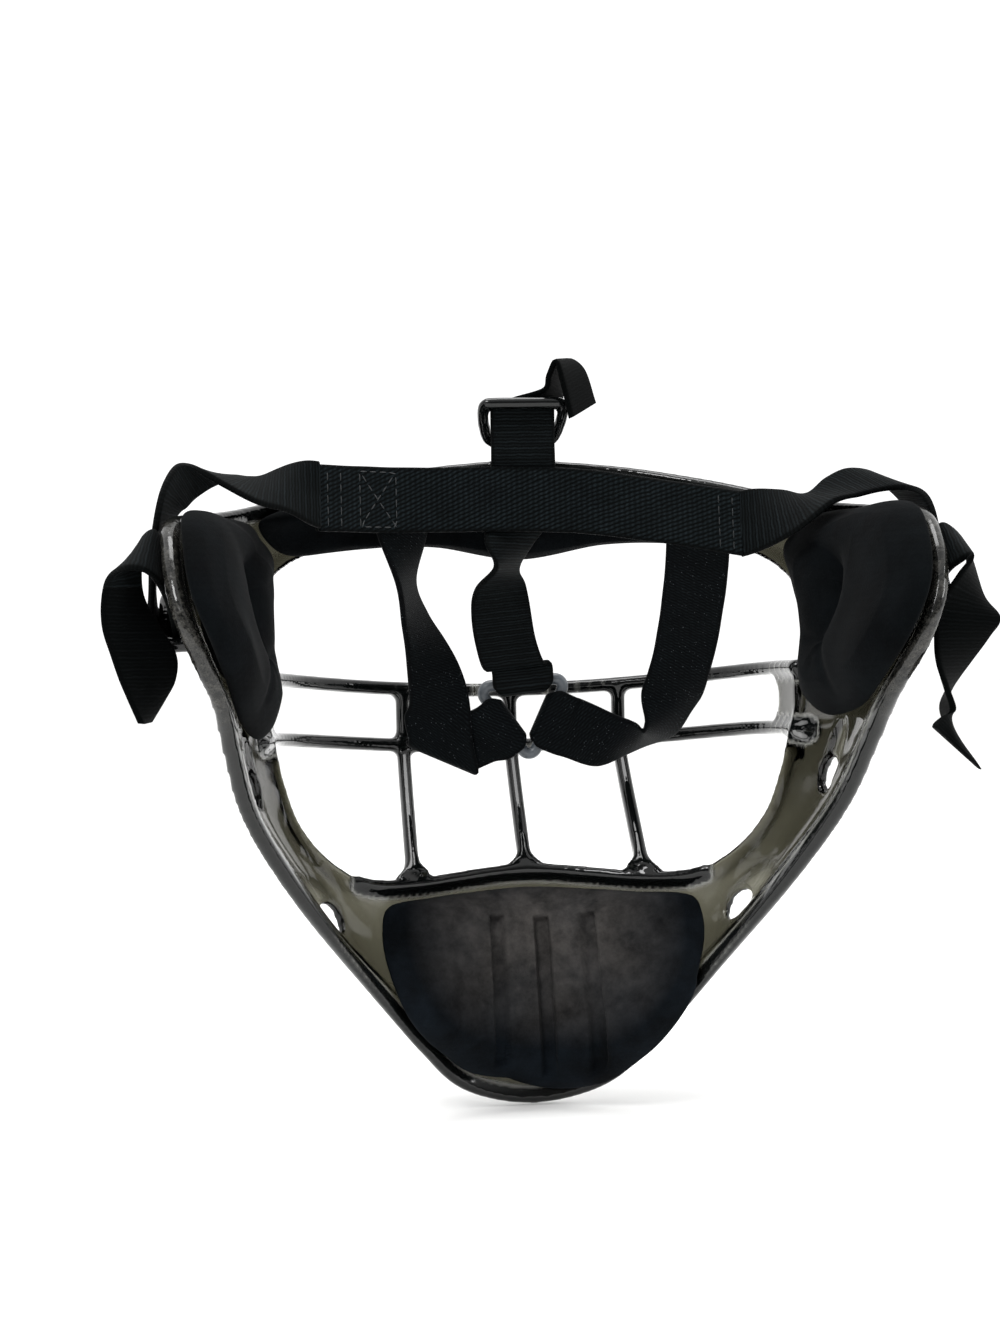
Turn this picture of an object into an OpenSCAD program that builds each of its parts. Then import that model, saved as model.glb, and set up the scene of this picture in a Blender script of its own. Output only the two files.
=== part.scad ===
// Fielder's face mask: a one-piece moulded guard with bars, foam pads held by
// hook-and-loop patches, and an elastic head harness with a three-sided ring.
// Millimetres. +Z is up, the wearer faces +Y, and +X is the wearer's right.
// The origin is the centre of the head seat, midway between the temples.

/* [Overall] */
// Width over the temple rims
mask_w = 204; // [190:1:220]
// Height from the head seat's centre up to the top of the brow
brow_h = 64; // [58:0.5:72]
// Depth from the head seat's centre down to the bottom of the chin
chin_drop = 132; // [120:1:145]
// Reach of the bars in front of the temples
front_reach = 131; // [120:1:142]

/* [Guard] */
// Wall thickness of the moulding
wall = 3; // [2.4:0.1:4]
// Radius of the rounded outer rim
rim_r = 2.3; // [1.8:0.1:3]
// Outward flare of the outer rim
rim_flare = 1.6; // [0.5:0.1:3]
// Radius of the rolled edge round the opening
lip_r = 2.1; // [1.7:0.1:2.6]
// Outward bulge of the brow band
brow_bulge = 2.5; // [1:0.5:5]
// Outward bulge of the temple plates
temple_bulge = 4; // [2:0.5:5]
// Outward bulge of the jaw arms
arm_bulge = 4; // [1:0.5:7]
// Outward bulge of the chin shield
chin_bulge = 7; // [3:0.5:10]

/* [Bars] */
// Width of a bar as the wearer sees it
bar_w = 4.4; // [3.6:0.1:6]
// Depth of a bar from front to back
bar_d = 6; // [4.4:0.1:8]
// Height of the upper cross bar at its middle
upper_bar_z = -7.5; // [-10:0.5:-4]
// Height of the lower cross bar at its middle
lower_bar_z = -25.5; // [-29:0.5:-22]
// Rise of the cross bars from the middle to the sides
bar_rise = 5.5; // [2:0.5:8]
// Distance between neighbouring upright bars
upright_pitch = 34.7; // [31:0.1:38]
// Number of upright bars on each side of the middle one
side_uprights = 1; // [0:1:1]
// Diameter of the rib along the top of the chin shield
chin_rib_d = 3.6; // [3:0.1:6]
// Length of the lower bar's rounded end on the inside of each jaw arm
bar_tail = 12; // [8:1:18]

/* [Vents] */
// Width of a jaw vent
vent_w = 8; // [6:0.5:9]
// Length of a jaw vent
vent_l = 11; // [9:0.5:13]
// Depth of the scooped recess round a vent
scoop_depth = 1; // [0.5:0.1:1.4]

/* [Webbing] */
// Width of the webbing
web_w = 19; // [17:0.5:21]
// Thickness of the webbing
web_t = 1.7; // [1.2:0.1:2]
// Diameter of the bars that the webbing is threaded on
loop_bar_d = 4; // [3.4:0.1:4.6]
// Distance of a temple bracket's bar outside the temple rim
peg_out = 3.8; // [3.4:0.1:4.6]
// Clearance between webbing and the bar that it goes round
web_gap = 0.4; // [0.3:0.1:0.6]
// Wire diameter of the three-sided ring
ring_d = 3.6; // [3:0.1:4.2]
// Inside length of each side of the ring
ring_side = 20; // [19:0.5:22]

/* [Pads] */
// Thickness of the hook-and-loop patches
patch_t = 1.6; // [1.2:0.1:2]
// Gap between two pieces that are pressed together
seat_gap = 0.4; // [0.4:0.05:0.6]
// Thickness of the brow pad at its crown
brow_pad_t = 11; // [8:0.5:12]
// Thickness of the temple pads at their crown
temple_pad_t = 11; // [8:0.5:13]
// Thickness of the chin pad at its crown
chin_pad_t = 15; // [11:0.5:17]
// Thickness of every pad at its edge
pad_edge_t = 3.5; // [2.5:0.5:5]
// Distance between the channels of the chin pad
channel_pitch = 12.8; // [11:0.1:15]
// Width of each channel
channel_w = 3.8; // [2.5:0.1:4.5]
// Depth of each channel
channel_depth = 2.6; // [1.5:0.1:3.5]

/* [Hidden] */

smoke = [0.30, 0.31, 0.29, 0.6];
foam_black = "#1b1c1e";
web_black = "#202225";

// The reference sizes that the shape points below were laid out at
ref_half_w = 102;
ref_brow = 64;
ref_chin = 132;
ref_front = 131;
sx = mask_w / 2 / ref_half_w;
sy = front_reach / ref_front;
sz_up = brow_h / ref_brow;
sz_down = chin_drop / ref_chin;
function fit(p) = [p.x * sx, p.y * sy, p.z * (p.z > 0 ? sz_up : sz_down)];

// Outer rim from the middle of the brow, down the wearer's right side, to the chin
rim_half = [for (p = [
    [0, 89, 62], [29, 86, 59.5], [54, 75, 54], [76.5, 54, 46.5], [90.5, 28, 42.5],
    [97, 4, 40], [96.8, -11, 31], [94.5, -19.5, 18], [89.5, -20, 5], [85, -11, -7],
    [83, 3, -20], [79.5, 19, -37], [69.5, 34, -57], [54.5, 48, -79.5], [42, 57, -98],
    [32, 65, -112], [20, 75, -125], [0, 80, -130.5]]) fit(p)];
// Edge of the opening, with the same number of points
lip_half = [for (p = [
    [0, 97, 33.5], [27, 94.5, 38], [49, 86, 37.5], [66, 73, 33], [76, 62, 25],
    [79.5, 56, 14], [80, 53, 4], [79, 54.5, -5], [77, 57, -14], [75, 59.5, -24],
    [73, 61, -33], [68.5, 63, -45], [60.5, 67, -55], [49, 74, -62], [35, 82, -63.5],
    [21, 88, -62.5], [10, 91, -61.5], [0, 92, -61]]) fit(p)];
// Outward bulge of the wall at the same points
bulge_half = [for (k = [0:17]) k < 3 ? brow_bulge : k < 8 ? temple_bulge : k < 13 ? arm_bulge : chin_bulge];
last = len(rim_half) - 1;
function flip(p) = [-p.x, p.y, p.z];
rim = concat(rim_half, [for (k = [last - 1:-1:1]) flip(rim_half[k])]);
lip = concat(lip_half, [for (k = [last - 1:-1:1]) flip(lip_half[k])]);
bulges = concat(bulge_half, [for (k = [last - 1:-1:1]) bulge_half[k]]);
stations = len(rim);

// A point on the Catmull-Rom curve through four neighbours
function curve4(a, b, c, d, u) = 0.5 * (2 * b + (c - a) * u + (2 * a - 5 * b + 4 * c - d) * u * u
    + (3 * b - a - 3 * c + d) * u * u * u);
// A point on the closed curve through P, one unit of s for each point
function ring_at(P, s) = let (n = len(P), w = (s % n + n) % n, i = floor(w), u = w - i)
    curve4(P[(i - 1 + n) % n], P[i], P[(i + 1) % n], P[(i + 2) % n], u);
// A point on the open curve through P, s running from 0 to the last index
function path_at(P, s) = let (n = len(P), i = min(floor(s), n - 2), u = s - i,
    a = i > 0 ? P[i - 1] : 2 * P[0] - P[1], d = i < n - 2 ? P[i + 2] : 2 * P[n - 1] - P[n - 2])
    curve4(a, P[i], P[i + 1], d, u);
function unit(v) = v / norm(v);
function mix(a, b, u) = a + (b - a) * u;

// The wall's middle surface: s goes round the ring, w from the rim to the opening,
// and n is the distance outwards from the surface
function across(s) = ring_at(lip, s) - ring_at(rim, s);
function both(s) = ring_at(rim, s) + ring_at(lip, s);
function along(s) = both(s + 0.1) - both(s - 0.1);
function outward(s) = unit(cross(along(s), across(s)));
function wall_at(s, a, n) = let (d = across(s), len_d = norm(d))
    ring_at(rim, s) + d / len_d * a
    + outward(s) * (n + ring_at(bulges, s) * sin(180 * min(max(a / len_d, 0), 1)));
function skin(s, w, n) = wall_at(s, w * norm(across(s)), n);
// The same surface on the wearer's left
function side_skin(side, s, w, n) = let (p = skin(s, w, n)) [side * p.x, p.y, p.z];

// Section of the wall: the rim's bead, the inside face, the lip's bead, the outside face
rim_arc = [for (q = [90:60:270]) [rim_r + rim_r * cos(q), rim_flare + rim_r * sin(q)]];
face_steps = [0.12, 0.31, 0.5, 0.69, 0.88];
face_last = len(face_steps) - 1;
function wall_section(len_d) = concat(rim_arc,
    [for (f = face_steps) [mix(2 * rim_r, len_d - 2 * lip_r, f), -wall / 2]],
    [for (q = [-120:60:120]) [len_d - lip_r + lip_r * cos(q), lip_r * sin(q)]],
    [for (k = [face_last:-1:0]) [mix(2 * rim_r, len_d - 2 * lip_r, face_steps[k]), wall / 2]]);

// Triangles of a grid of rings, m points a ring and r rings, joined up if closed
function grid_faces(r, m, closed) = [for (i = [0:r - (closed ? 1 : 2)]) for (j = [0:m - 1])
    let (k = (j + 1) % m, next = ((i + 1) % r) * m, a = i * m + j, b = i * m + k, c = next + j, d = next + k)
    each [[a, d, b], [a, c, d]]];
function cap_faces(r, m) = concat([for (j = [1:m - 2]) [0, j, j + 1]],
    [for (j = [1:m - 2]) let (o = (r - 1) * m) [o, o + j + 1, o + j]]);

// A solid swept through centres C, with its section's first axis along U, and the
// section's width multiplied by the shares
module swept(C, U, section, shares = []) {
    r = len(C);
    m = len(section);
    points = [for (i = [0:r - 1])
        let (t = unit(C[min(i + 1, r - 1)] - C[max(i - 1, 0)]), w = unit(U[i]), v = unit(cross(t, w)))
        for (p = section) C[i] + w * p.x * (len(shares) > 0 ? shares[i] : 1) + v * p.y];
    polyhedron(points, concat(grid_faces(r, m, false), cap_faces(r, m)), convexity = 6);
}

module wall_ring() {
    count = 3 * stations;
    sections = [for (i = [0:count - 1]) let (s = i / 3, len_d = norm(across(s)))
        [for (p = wall_section(len_d)) wall_at(s, p.x, p.y)]];
    m = len(sections[0]);
    polyhedron([for (ring = sections) each ring], grid_faces(count, m, true), convexity = 10);
}

function oval(w, d, n) = [for (k = [0:n - 1]) let (q = 360 * k / n, c = cos(q), e = sin(q))
    [w / 2 * sign(c) * pow(abs(c), 0.8), d / 2 * sign(e) * pow(abs(e), 0.8)]];

// Plan of the cross bars: flat at the front, then curving back to the arms
bar_end_x = 77 * sx;
bar_end_y = 56 * sy;
plan_power = 2.7;
function plan_y(x) = bar_end_y + (front_reach - bar_d / 2 - bar_end_y)
    * pow(max(1 - pow(abs(x) / bar_end_x, plan_power), 0), 1 / plan_power);
function bar_point(q, z) = let (x = bar_end_x * sign(cos(q)) * pow(abs(cos(q)), 2 / plan_power),
    lift = bar_rise * pow(x / bar_end_x, 2)) [x, plan_y(x), z + lift];

// A cross bar from arm to arm, with an optional rounded end carried back on each arm
module cross_bar(z, tail) {
    front = [for (q = [0:9:180]) bar_point(q, z)];
    back = bar_point(0, z);
    run = tail > 0 ? back + [tail / 7, -tail, 0] : back + [0.6, -3, 0];
    C = concat([run], front, [flip(run)]);
    swept(C, [for (p = C) [0, 0, 1]], oval(bar_w, bar_d, 8));
    if (tail > 0)
        for (p = [run, flip(run)]) translate(p) sphere(d = bar_w, $fn = 12);
}

chin_top = ring_at(lip, last);
function foot(x) = let (u = abs(x) / (35 * sx)) [x, mix(chin_top.y, 82 * sy, u * u), chin_top.z - 1.5 * u];
// An upright bar from the upper cross bar, over the lower one, to the chin shield
module upright(x) {
    y = plan_y(x);
    f = foot(x);
    drop = lower_bar_z - f.z;
    P = [[x, y, upper_bar_z], [x, y + 0.6, (upper_bar_z + lower_bar_z) / 2], [x, y, lower_bar_z],
        [x, mix(y, f.y, 0.25), lower_bar_z - drop * 0.3],
        [x, mix(y, f.y, 0.62), lower_bar_z - drop * 0.65], f];
    C = [for (k = [0:10]) path_at(P, k / 2)];
    swept(C, [for (p = C) [1, 0, 0]], oval(bar_w, bar_d, 8));
}

// A small web that rounds the corner where two bars meet
module corner_web(x, z, up) {
    y = plan_y(x);
    reach = 5;
    for (side = [-1, 1])
        hull() {
            translate([x, y, z + up * reach]) sphere(d = bar_w * 0.6, $fn = 6);
            translate([x + side * reach, plan_y(x + side * reach), z]) sphere(d = bar_w * 0.6, $fn = 6);
            translate([x, y, z]) sphere(d = bar_w * 0.6, $fn = 6);
        }
}

// A plate that carries on a jaw arm's wall along the cross bars' plan. Its rows run over
// half a height each way from z, and ends holds the angle where each row ends.
module bar_plate(side, z, half, ends) {
    cols = 4;
    rows = len(ends) - 1;
    function at(i, j) = let (zz = z + half * (2 * j / rows - 1))
        i == 0 ? bar_point(0, zz) + [0.3, -3, 0] : bar_point(ends[j] * (i - 1) / (cols - 1), zz);
    sections = [for (j = [0:rows]) concat([for (i = [0:cols]) at(i, j) + [wall / 2, 0, 0]],
        [for (i = [cols:-1:0]) at(i, j) - [wall / 2, 0, 0]])];
    m = 2 * (cols + 1);
    caps = [for (j = [0, rows]) for (i = [0:cols - 1]) let (o = j * m, a = o + i, b = o + i + 1,
        c = o + m - 2 - i, d = o + m - 1 - i) each j > 0 ? [[c, b, a], [d, c, a]] : [[a, b, c], [a, c, d]]];
    scale([side, 1, 1])
        polyhedron([for (ring = sections) each ring], concat(grid_faces(rows + 1, m, false), caps),
            convexity = 6);
}
// Between the cross bars a window with a round end, and a rounded corner below them
module arm_plates(side) {
    gap = (upper_bar_z - lower_bar_z) / 2;
    bar_plate(side, upper_bar_z - gap, gap, [for (v = [-1:0.25:1]) mix(17, 8.5, sqrt(1 - v * v))]);
    bar_plate(side, lower_bar_z - 4, 4, [for (v = [0:0.2:1]) 0.3 + 16 * (1 - sqrt(1 - v * v))]);
}

// The rib on the chin shield's top edge, with square ends
module chin_rib() {
    C = [for (k = [0:14]) let (s = mix(last - 4.2, last + 4.2, k / 14)) skin(s, 1, 0) + [0, -1.2, -0.6]];
    swept(C, [for (p = C) [0, 0, 1]], oval(chin_rib_d, chin_rib_d, 8));
}

// The loop for the top strap, above the brow: a rounded rectangle whose lower corners
// turn in behind the strap and run back to the brow
loop_y = 68 * sy;
loop_z = brow_h + 12.7;
loop_half = web_w / 2 + 2.5;
brow_top = wall_at(0, rim_r, rim_flare) + [0, 1.4, 0];
loop_low = [loop_half - 3.4, mix(loop_y, brow_top.y, 0.42), mix(loop_z, brow_top.z, 0.6)];
loop_side = [[loop_half - 4, loop_y, loop_z], [loop_half - 0.6, loop_y + 0.3, loop_z - 0.5],
    [loop_half - 0.4, mix(loop_low.y, loop_y, 0.6), mix(loop_low.z, loop_z, 0.6)],
    [loop_half - 2.2, loop_low.y - 0.6, loop_low.z + 1],
    [loop_half - 6, mix(brow_top.y, loop_low.y, 0.8), mix(brow_top.z, loop_low.z, 0.8)],
    [loop_half - 6, brow_top.y, brow_top.z]];
loop_path = concat([for (k = [5:-1:0]) flip(loop_side[k])], loop_side);
module top_loop() {
    for (k = [0:10])
        hull() {
            translate(loop_path[k]) sphere(d = loop_bar_d, $fn = 8);
            translate(loop_path[k + 1]) sphere(d = loop_bar_d, $fn = 8);
        }
}

// The leaning bar on the outside of each temple that the side strap is threaded on.
// Its own directions: out from the face, along the bar, and back along the strap's pull.
peg_x = rim_half[5].x + peg_out;
peg_y = 9 * sy;
peg_z = 13.5 * sz_up;
peg_lean = 58;
peg_half = web_w / 2 + 2.6;
peg_axis = [0, sin(peg_lean), cos(peg_lean)];
peg_pull = [0, -cos(peg_lean), sin(peg_lean)];
function peg_at(side, out, along, back) = [side * (peg_x + out), peg_y, peg_z]
    + along * peg_axis + back * peg_pull;
module temple_bracket(side) {
    translate(peg_at(side, 0, 0, 0)) rotate([-peg_lean, 0, 0])
        cylinder(d = loop_bar_d, h = 2 * peg_half, center = true, $fn = 24);
    for (e = [[peg_half, 5.85, 0.45], [-peg_half, 7.3, 0.26]])
        hull() {
            translate(peg_at(side, 0, e[0], 0)) sphere(d = loop_bar_d, $fn = 12);
            translate(side_skin(side, e[1], e[2], 0)) sphere(d = wall, $fn = 12);
        }
}

// Places of the two vents of a jaw arm, as s and w on the wall
vent_places = [[10.4, 0.5], [12.8, 0.5]];
module vent_cut(side, place) {
    c = side_skin(side, place[0], place[1], 0);
    n = side_skin(side, place[0], place[1], 1) - c;
    up = unit(side_skin(side, place[0] - 0.6, place[1], 0) - c);
    reach = (vent_l - vent_w) / 2;
    hull()
        for (e = [-reach, reach])
            for (h = [-wall, wall])
                translate(c + up * e + n * h) sphere(d = vent_w, $fn = 12);
}
module vent_scoop(side, place) {
    c = side_skin(side, place[0], place[1], -wall / 2);
    n = unit(side_skin(side, place[0], place[1], 1) - side_skin(side, place[0], place[1], 0));
    up = unit(side_skin(side, place[0] - 0.6, place[1], 0) - side_skin(side, place[0], place[1], 0));
    big = vent_w * 0.9;
    hull() {
        translate(c - n * (big - scoop_depth) + up * -2) sphere(r = big, $fn = 12);
        translate(c - n * (big / 2 - scoop_depth * 0.6) + up * (vent_l + 1)) sphere(r = big / 2, $fn = 10);
    }
}

module face_guard() {
    color(smoke)
    difference() {
        union() {
            wall_ring();
            cross_bar(upper_bar_z, 0);
            cross_bar(lower_bar_z, bar_tail);
            for (k = [-side_uprights:side_uprights]) {
                upright(k * upright_pitch);
                corner_web(k * upright_pitch, upper_bar_z, -1);
                corner_web(k * upright_pitch, lower_bar_z, -1);
            }
            chin_rib();
            top_loop();
            for (side = [-1, 1]) {
                arm_plates(side);
                temple_bracket(side);
            }
        }
        for (side = [-1, 1])
            for (place = vent_places) {
                vent_cut(side, place);
                vent_scoop(side, place);
            }
    }
}

// A pad or patch on the wall's inside face. s0 to s1 go round the ring and w0 to w1
// from rim to opening. a and b run from -1 to 1 and are rounded to a soft-cornered
// outline, and the height falls from the crown to the edge. A pad's back is lifted
// over its patch, and comes down to the wall round its edge. keep is the distance
// that the pad leaves to the edge of the opening. s0 and s1 may be pairs, for the rim
// and for the opening, and w0 and w1 may be tables of a and the share there.
lift_margin = 0.25;
function pair_at(s, u) = is_num(s) ? s : mix(s[0], s[1], u);
function table_at(w, a) = is_num(w) ? w : lookup(a, w);
function place_at(q, s0, s1, w0, w1, keep) = let (u = (q.y + 1) / 2,
    s = mix(pair_at(s0, u), pair_at(s1, u), (q.x + 1) / 2),
    w_top = min(table_at(w1, q.x), 1 - keep / norm(across(s)))) [s, mix(table_at(w0, q.x), w_top, u)];
function round_off(a, b, corner) = let (m = max(abs(a), abs(b)))
    m == 0 ? [0, 0] : [a, b] * m / pow(pow(abs(a), corner) + pow(abs(b), corner), 1 / corner);
function crown(a, b, edge, top, full) = edge + (top - edge) * (1 - pow(max(abs(a), abs(b)), full));
pad_seat = wall / 2 + seat_gap;

module on_wall(side, s0, s1, w0, w1, cols, rows, lift, heights, corner = 5, keep = 0) {
    function raised(i, j, h) = let (a = 2 * i / cols - 1, b = 2 * j / rows - 1, q = round_off(a, b, corner),
        inner = min((1 - max(abs(a), abs(b))) / lift_margin, 1),
        e = place_at(q, s0, s1, w0, w1, keep))
        side_skin(side, e[0], e[1], -pad_seat - lift * inner - h);
    function base(i, j) = raised(i, j, 0);
    function top(i, j) = raised(i, j, heights[i][j]);
    m = cols + 1;
    half = m * (rows + 1);
    points = concat([for (j = [0:rows]) for (i = [0:cols]) base(i, j)],
        [for (j = [0:rows]) for (i = [0:cols]) top(i, j)]);
    quads = [for (j = [0:rows - 1]) for (i = [0:cols - 1])
        let (a = j * m + i) [a, a + 1, a + m + 1, a + m]];
    edge_loop = concat([for (i = [0:cols]) i], [for (j = [1:rows]) j * m + cols],
        [for (i = [cols - 1:-1:0]) rows * m + i], [for (j = [rows - 1:-1:1]) j * m]);
    n = len(edge_loop);
    faces = concat([for (q = quads) each [[q[0], q[1], q[2]], [q[0], q[2], q[3]]]],
        [for (q = quads) let (t = q + half * [1, 1, 1, 1]) each [[t[2], t[1], t[0]], [t[3], t[2], t[0]]]],
        [for (k = [0:n - 1]) let (a = edge_loop[k], b = edge_loop[(k + 1) % n])
            each [[b, a, a + half], [b, a + half, b + half]]]);
    polyhedron(points, side < 0 ? faces : [for (f = faces) [f[2], f[1], f[0]]], convexity = 6);
}
function flat_heights(cols, rows, t) = [for (i = [0:cols]) [for (j = [0:rows]) t]];
over_patch = patch_t + seat_gap;

brow_ends = [3.25, 3.35];
brow_high = [[-1, 1.2], [-0.9, 1.15], [-0.75, 1.03], [-0.5, 1.04], [-0.25, 1.08], [-0.12, 1.15],
    [0.05, 1.17], [0.12, 1.06], [0.2, 1], [0.5, 1.05], [0.75, 1.07], [0.9, 1.06], [1, 1.2]];
module brow_patch() {
    color(web_black) on_wall(1, -2.4, 2.4, 0.25, 0.75, 16, 3, 0, flat_heights(16, 3, patch_t));
}
module brow_pad() {
    cols = 30;
    rows = 9;
    heights = [for (i = [0:cols]) [for (j = [0:rows]) let (a = 2 * i / cols - 1, b = 2 * j / rows - 1)
        crown(a, b, pad_edge_t, brow_pad_t * (1 - 0.35 * pow(abs(a), 4)), 4)]];
    color(foam_black) on_wall(1, -brow_ends, brow_ends, 0.03, brow_high, cols, rows, over_patch, heights);
}

// The temple pads have a hollow between a thick front roll and a thinner rear part
module temple_patch(side) {
    color(web_black) on_wall(side, 4.9, 7.7, 0.3, 0.7, 10, 4, 0, flat_heights(10, 4, patch_t));
}
left_start = [3.35, 3.43];
left_end = [8.9, 9.2];
left_high = [[-1, 0.97], [-0.4, 0.87], [0.4, 0.83], [1, 0.82]];
right_start = [3.35, 3.43];
right_end = [9.4, 8.7];
right_high = [[-1, 0.95], [-0.4, 0.87], [0.4, 0.83], [0.75, 0.79], [1, 0.76]];
module temple_pad(side) {
    cols = 18;
    rows = 14;
    heights = [for (i = [0:cols]) [for (j = [0:rows]) let (a = 2 * i / cols - 1, b = 2 * j / rows - 1,
        hollow = exp(-pow((b - 0.25 - 0.25 * a) / 0.22, 2)) * exp(-pow((a + 0.25) / 0.5, 2)))
        crown(a, b, pad_edge_t, temple_pad_t, 3.5) - 0.5 * (temple_pad_t - pad_edge_t) * hollow]];
    color(foam_black) on_wall(side, side > 0 ? right_start : left_start, side > 0 ? right_end : left_end,
        -0.04, side > 0 ? right_high : left_high, cols, rows, over_patch, heights, 3.4);
}

// The chin pad sits a little to the wearer's right and has upright channels
chin_from = [last - 3.35, last - 3.8];
chin_to = [last + 2.95, last + 3.5];
chin_low = [[-1, -0.13], [-0.6, -0.06], [-0.2, 0.02], [0.2, 0.1], [0.6, 0.05], [1, -0.03]];
chin_high = [[-1, 0.98], [-0.5, 0.95], [0, 0.91], [0.5, 0.97], [1, 1.02]];
chin_corner = 11;
chin_keep = 2 * lip_r + 2;
channel_mid = 2.6;
module chin_patch() {
    color(web_black) on_wall(1, last - 1.9, last + 1.9, 0.32, 0.73, 16, 5, 0, flat_heights(16, 5, patch_t));
}
module chin_pad() {
    cols = 30;
    rows = 10;
    heights = [for (i = [0:cols]) [for (j = [0:rows]) let (a = 2 * i / cols - 1, b = 2 * j / rows - 1,
        e = place_at(round_off(a, b, chin_corner), chin_from, chin_to, chin_low, chin_high, chin_keep),
        full = crown(a, b, pad_edge_t, chin_pad_t, 3),
        p = skin(e[0], e[1], -pad_seat - over_patch - full),
        near = min([for (k = [-1:1]) abs(p.x - channel_mid - k * channel_pitch)]),
        groove = exp(-pow(near / (channel_w / 2), 2)) * (1 - pow(abs(b), 8)))
        full - channel_depth * groove]];
    color(foam_black) on_wall(1, chin_from, chin_to, chin_low, chin_high, cols, rows, over_patch, heights,
        chin_corner, chin_keep);
}

// Webbing: a flat strip through the points of R. Each row holds a point, the direction
// of the strip's width there, and its share of the full width where that is less.
web_edge = 0.7;
web_section = [[-web_w / 2, 0], [-web_w / 2 + web_edge, -web_t / 2], [web_w / 2 - web_edge, -web_t / 2],
    [web_w / 2, 0], [web_w / 2 - web_edge, web_t / 2], [-web_w / 2 + web_edge, web_t / 2]];
module webbing(R, from = 0, to = 1, steps = 2) {
    P = [for (r = R) r[0]];
    W = [for (r = R) r[1]];
    K = [for (r = R) len(r) > 2 ? r[2] : 1];
    n = len(R) - 1;
    count = ceil(n * steps * (to - from));
    S = [for (k = [0:count]) n * mix(from, to, k / count)];
    color(web_black) swept([for (s = S) path_at(P, s)], [for (s = S) path_at(W, s)], web_section,
        [for (s = S) path_at(K, s)]);
}

// The three-sided ring, one wire with three straight sides and three round corners
ring_place = fit([2.3, 104, -13.2]);
ring_tilt = 5;
ring_corner_r = ring_d / 2 + 0.6;
ring_out = ring_side / sqrt(3);
ring_sides = 12;
module harness_ring() {
    normals = [for (q = [30, 150, 270]) for (e = [-60:20:60]) [q, q + e]];
    wire = [for (n = normals) for (k = [0:ring_sides - 1]) let (f = 360 * k / ring_sides)
        [ring_out * cos(n[0]) + (ring_corner_r + ring_d / 2 * cos(f)) * cos(n[1]),
            ring_out * sin(n[0]) + (ring_corner_r + ring_d / 2 * cos(f)) * sin(n[1]), -ring_d / 2 * sin(f)]];
    color("#3b3d40") translate(ring_place) rotate([90, -ring_tilt, 0])
        polyhedron(wire, grid_faces(len(normals), ring_sides, true), convexity = 6);
}
// The end of a strap, turned round one side of the ring: q is the side's direction.
// The strap is bunched where it passes inside, between its neighbours. way turns the
// direction of its width about.
ring_bunch = 0.28;
ring_turn_r = ring_d / 2 + web_gap + web_t / 2;
function ring_end(q, way = 1) = let (a = q + ring_tilt, out = [cos(a), 0, sin(a)],
    side = way * [sin(a), 0, -cos(a)],
    mid = ring_place + (ring_out / 2 + ring_corner_r) * out)
    [for (e = [-30:30:180]) [mid + (e < 0 ? 5 : -ring_turn_r * sin(e)) * out
        - [0, ring_turn_r * cos(max(e, 0)), 0], side, 1 - ring_bunch * pow(sin(max(e, 0)), 2)]];

// The strap's turn round a temple bracket's bar, from angle q0 to q1 on the side view
peg_turn_r = loop_bar_d / 2 + web_gap + web_t / 2;
function peg_turn(side, q0, q1, n) = [for (k = [0:n]) let (q = mix(q0, q1, k / n))
    [peg_at(side, peg_turn_r * cos(q), 0, -peg_turn_r * sin(q)), peg_axis]];

// Routes of the webbing, chosen by hand, with the width's direction at each point
function fitted(R) = [for (r = R) concat([fit(r[0])], [for (k = [1:len(r) - 1]) r[k]])];
band_route = fitted([
    [[-59, 53, 48.5], [0, 0, 1]], [[-37, 65, 48.7], [0, 0, 1]], [[-7, 70, 49], [0, 0, 1]],
    [[17, 70, 48], [0, 0, 1]], [[32, 67, 45.7], [0, 0.05, 1]], [[46, 61.5, 43], [0, 0.1, 1]],
    [[59, 52, 39.5], [0, 0.1, 1]]]);
left_side_route = concat(fitted([
    [[-60.2, 51.5, 49.4], [0, 0, 1]], [[-68.3, 46.8, 50.9], [0, 0.6, 0.75]],
    [[-76.5, 41, 50.4], [0.1, 0.85, 0.45]],
    [[-82.5, 35.5, 51.8], [0.3, 0.93, 0.2]], [[-87, 31, 53], [0.32, 0.94, 0.05]],
    [[-91.7, 26.5, 52.9], [0.27, 0.92, -0.2]], [[-95.5, 22, 50.8], [0.2, 0.9, -0.35]],
    [[-98, 17.5, 47], [0.2, 0.93, -0.27]], [[-100, 14.5, 42.5], [0.19, 0.98, 0]],
    [[-102.4, 12, 34], [0.1, 0.95, 0.3]], [[-103.6, 9, 24], [0, 0.9, 0.43]]]),
    [[peg_at(-1, peg_turn_r, 0, 5), peg_axis]], peg_turn(-1, 0, 40, 2));
right_side_route = concat(fitted([
    [[60.2, 51, 39.3], [0, 0, 1]], [[71.5, 42.5, 42], [0, 0.7, 0.7]],
    [[79.2, 36.5, 45], [-0.15, 0.97, 0.2]],
    [[84.8, 32, 47.8], [-0.25, 0.9, 0.32]], [[90, 27.5, 49.4], [-0.3, 0.86, 0.38]],
    [[94.8, 22.5, 48.6], [-0.25, 0.9, 0.3]], [[98.6, 18, 45.4], [-0.2, 0.95, 0.15]],
    [[101, 14.5, 40.5], [-0.1, 0.97, 0.15]], [[103, 12, 33], [0, 0.93, 0.35]],
    [[103.8, 9, 24], [0, 0.88, 0.45]]]),
    [[peg_at(1, peg_turn_r, 0, 5), peg_axis]], peg_turn(1, 0, 40, 2));
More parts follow.
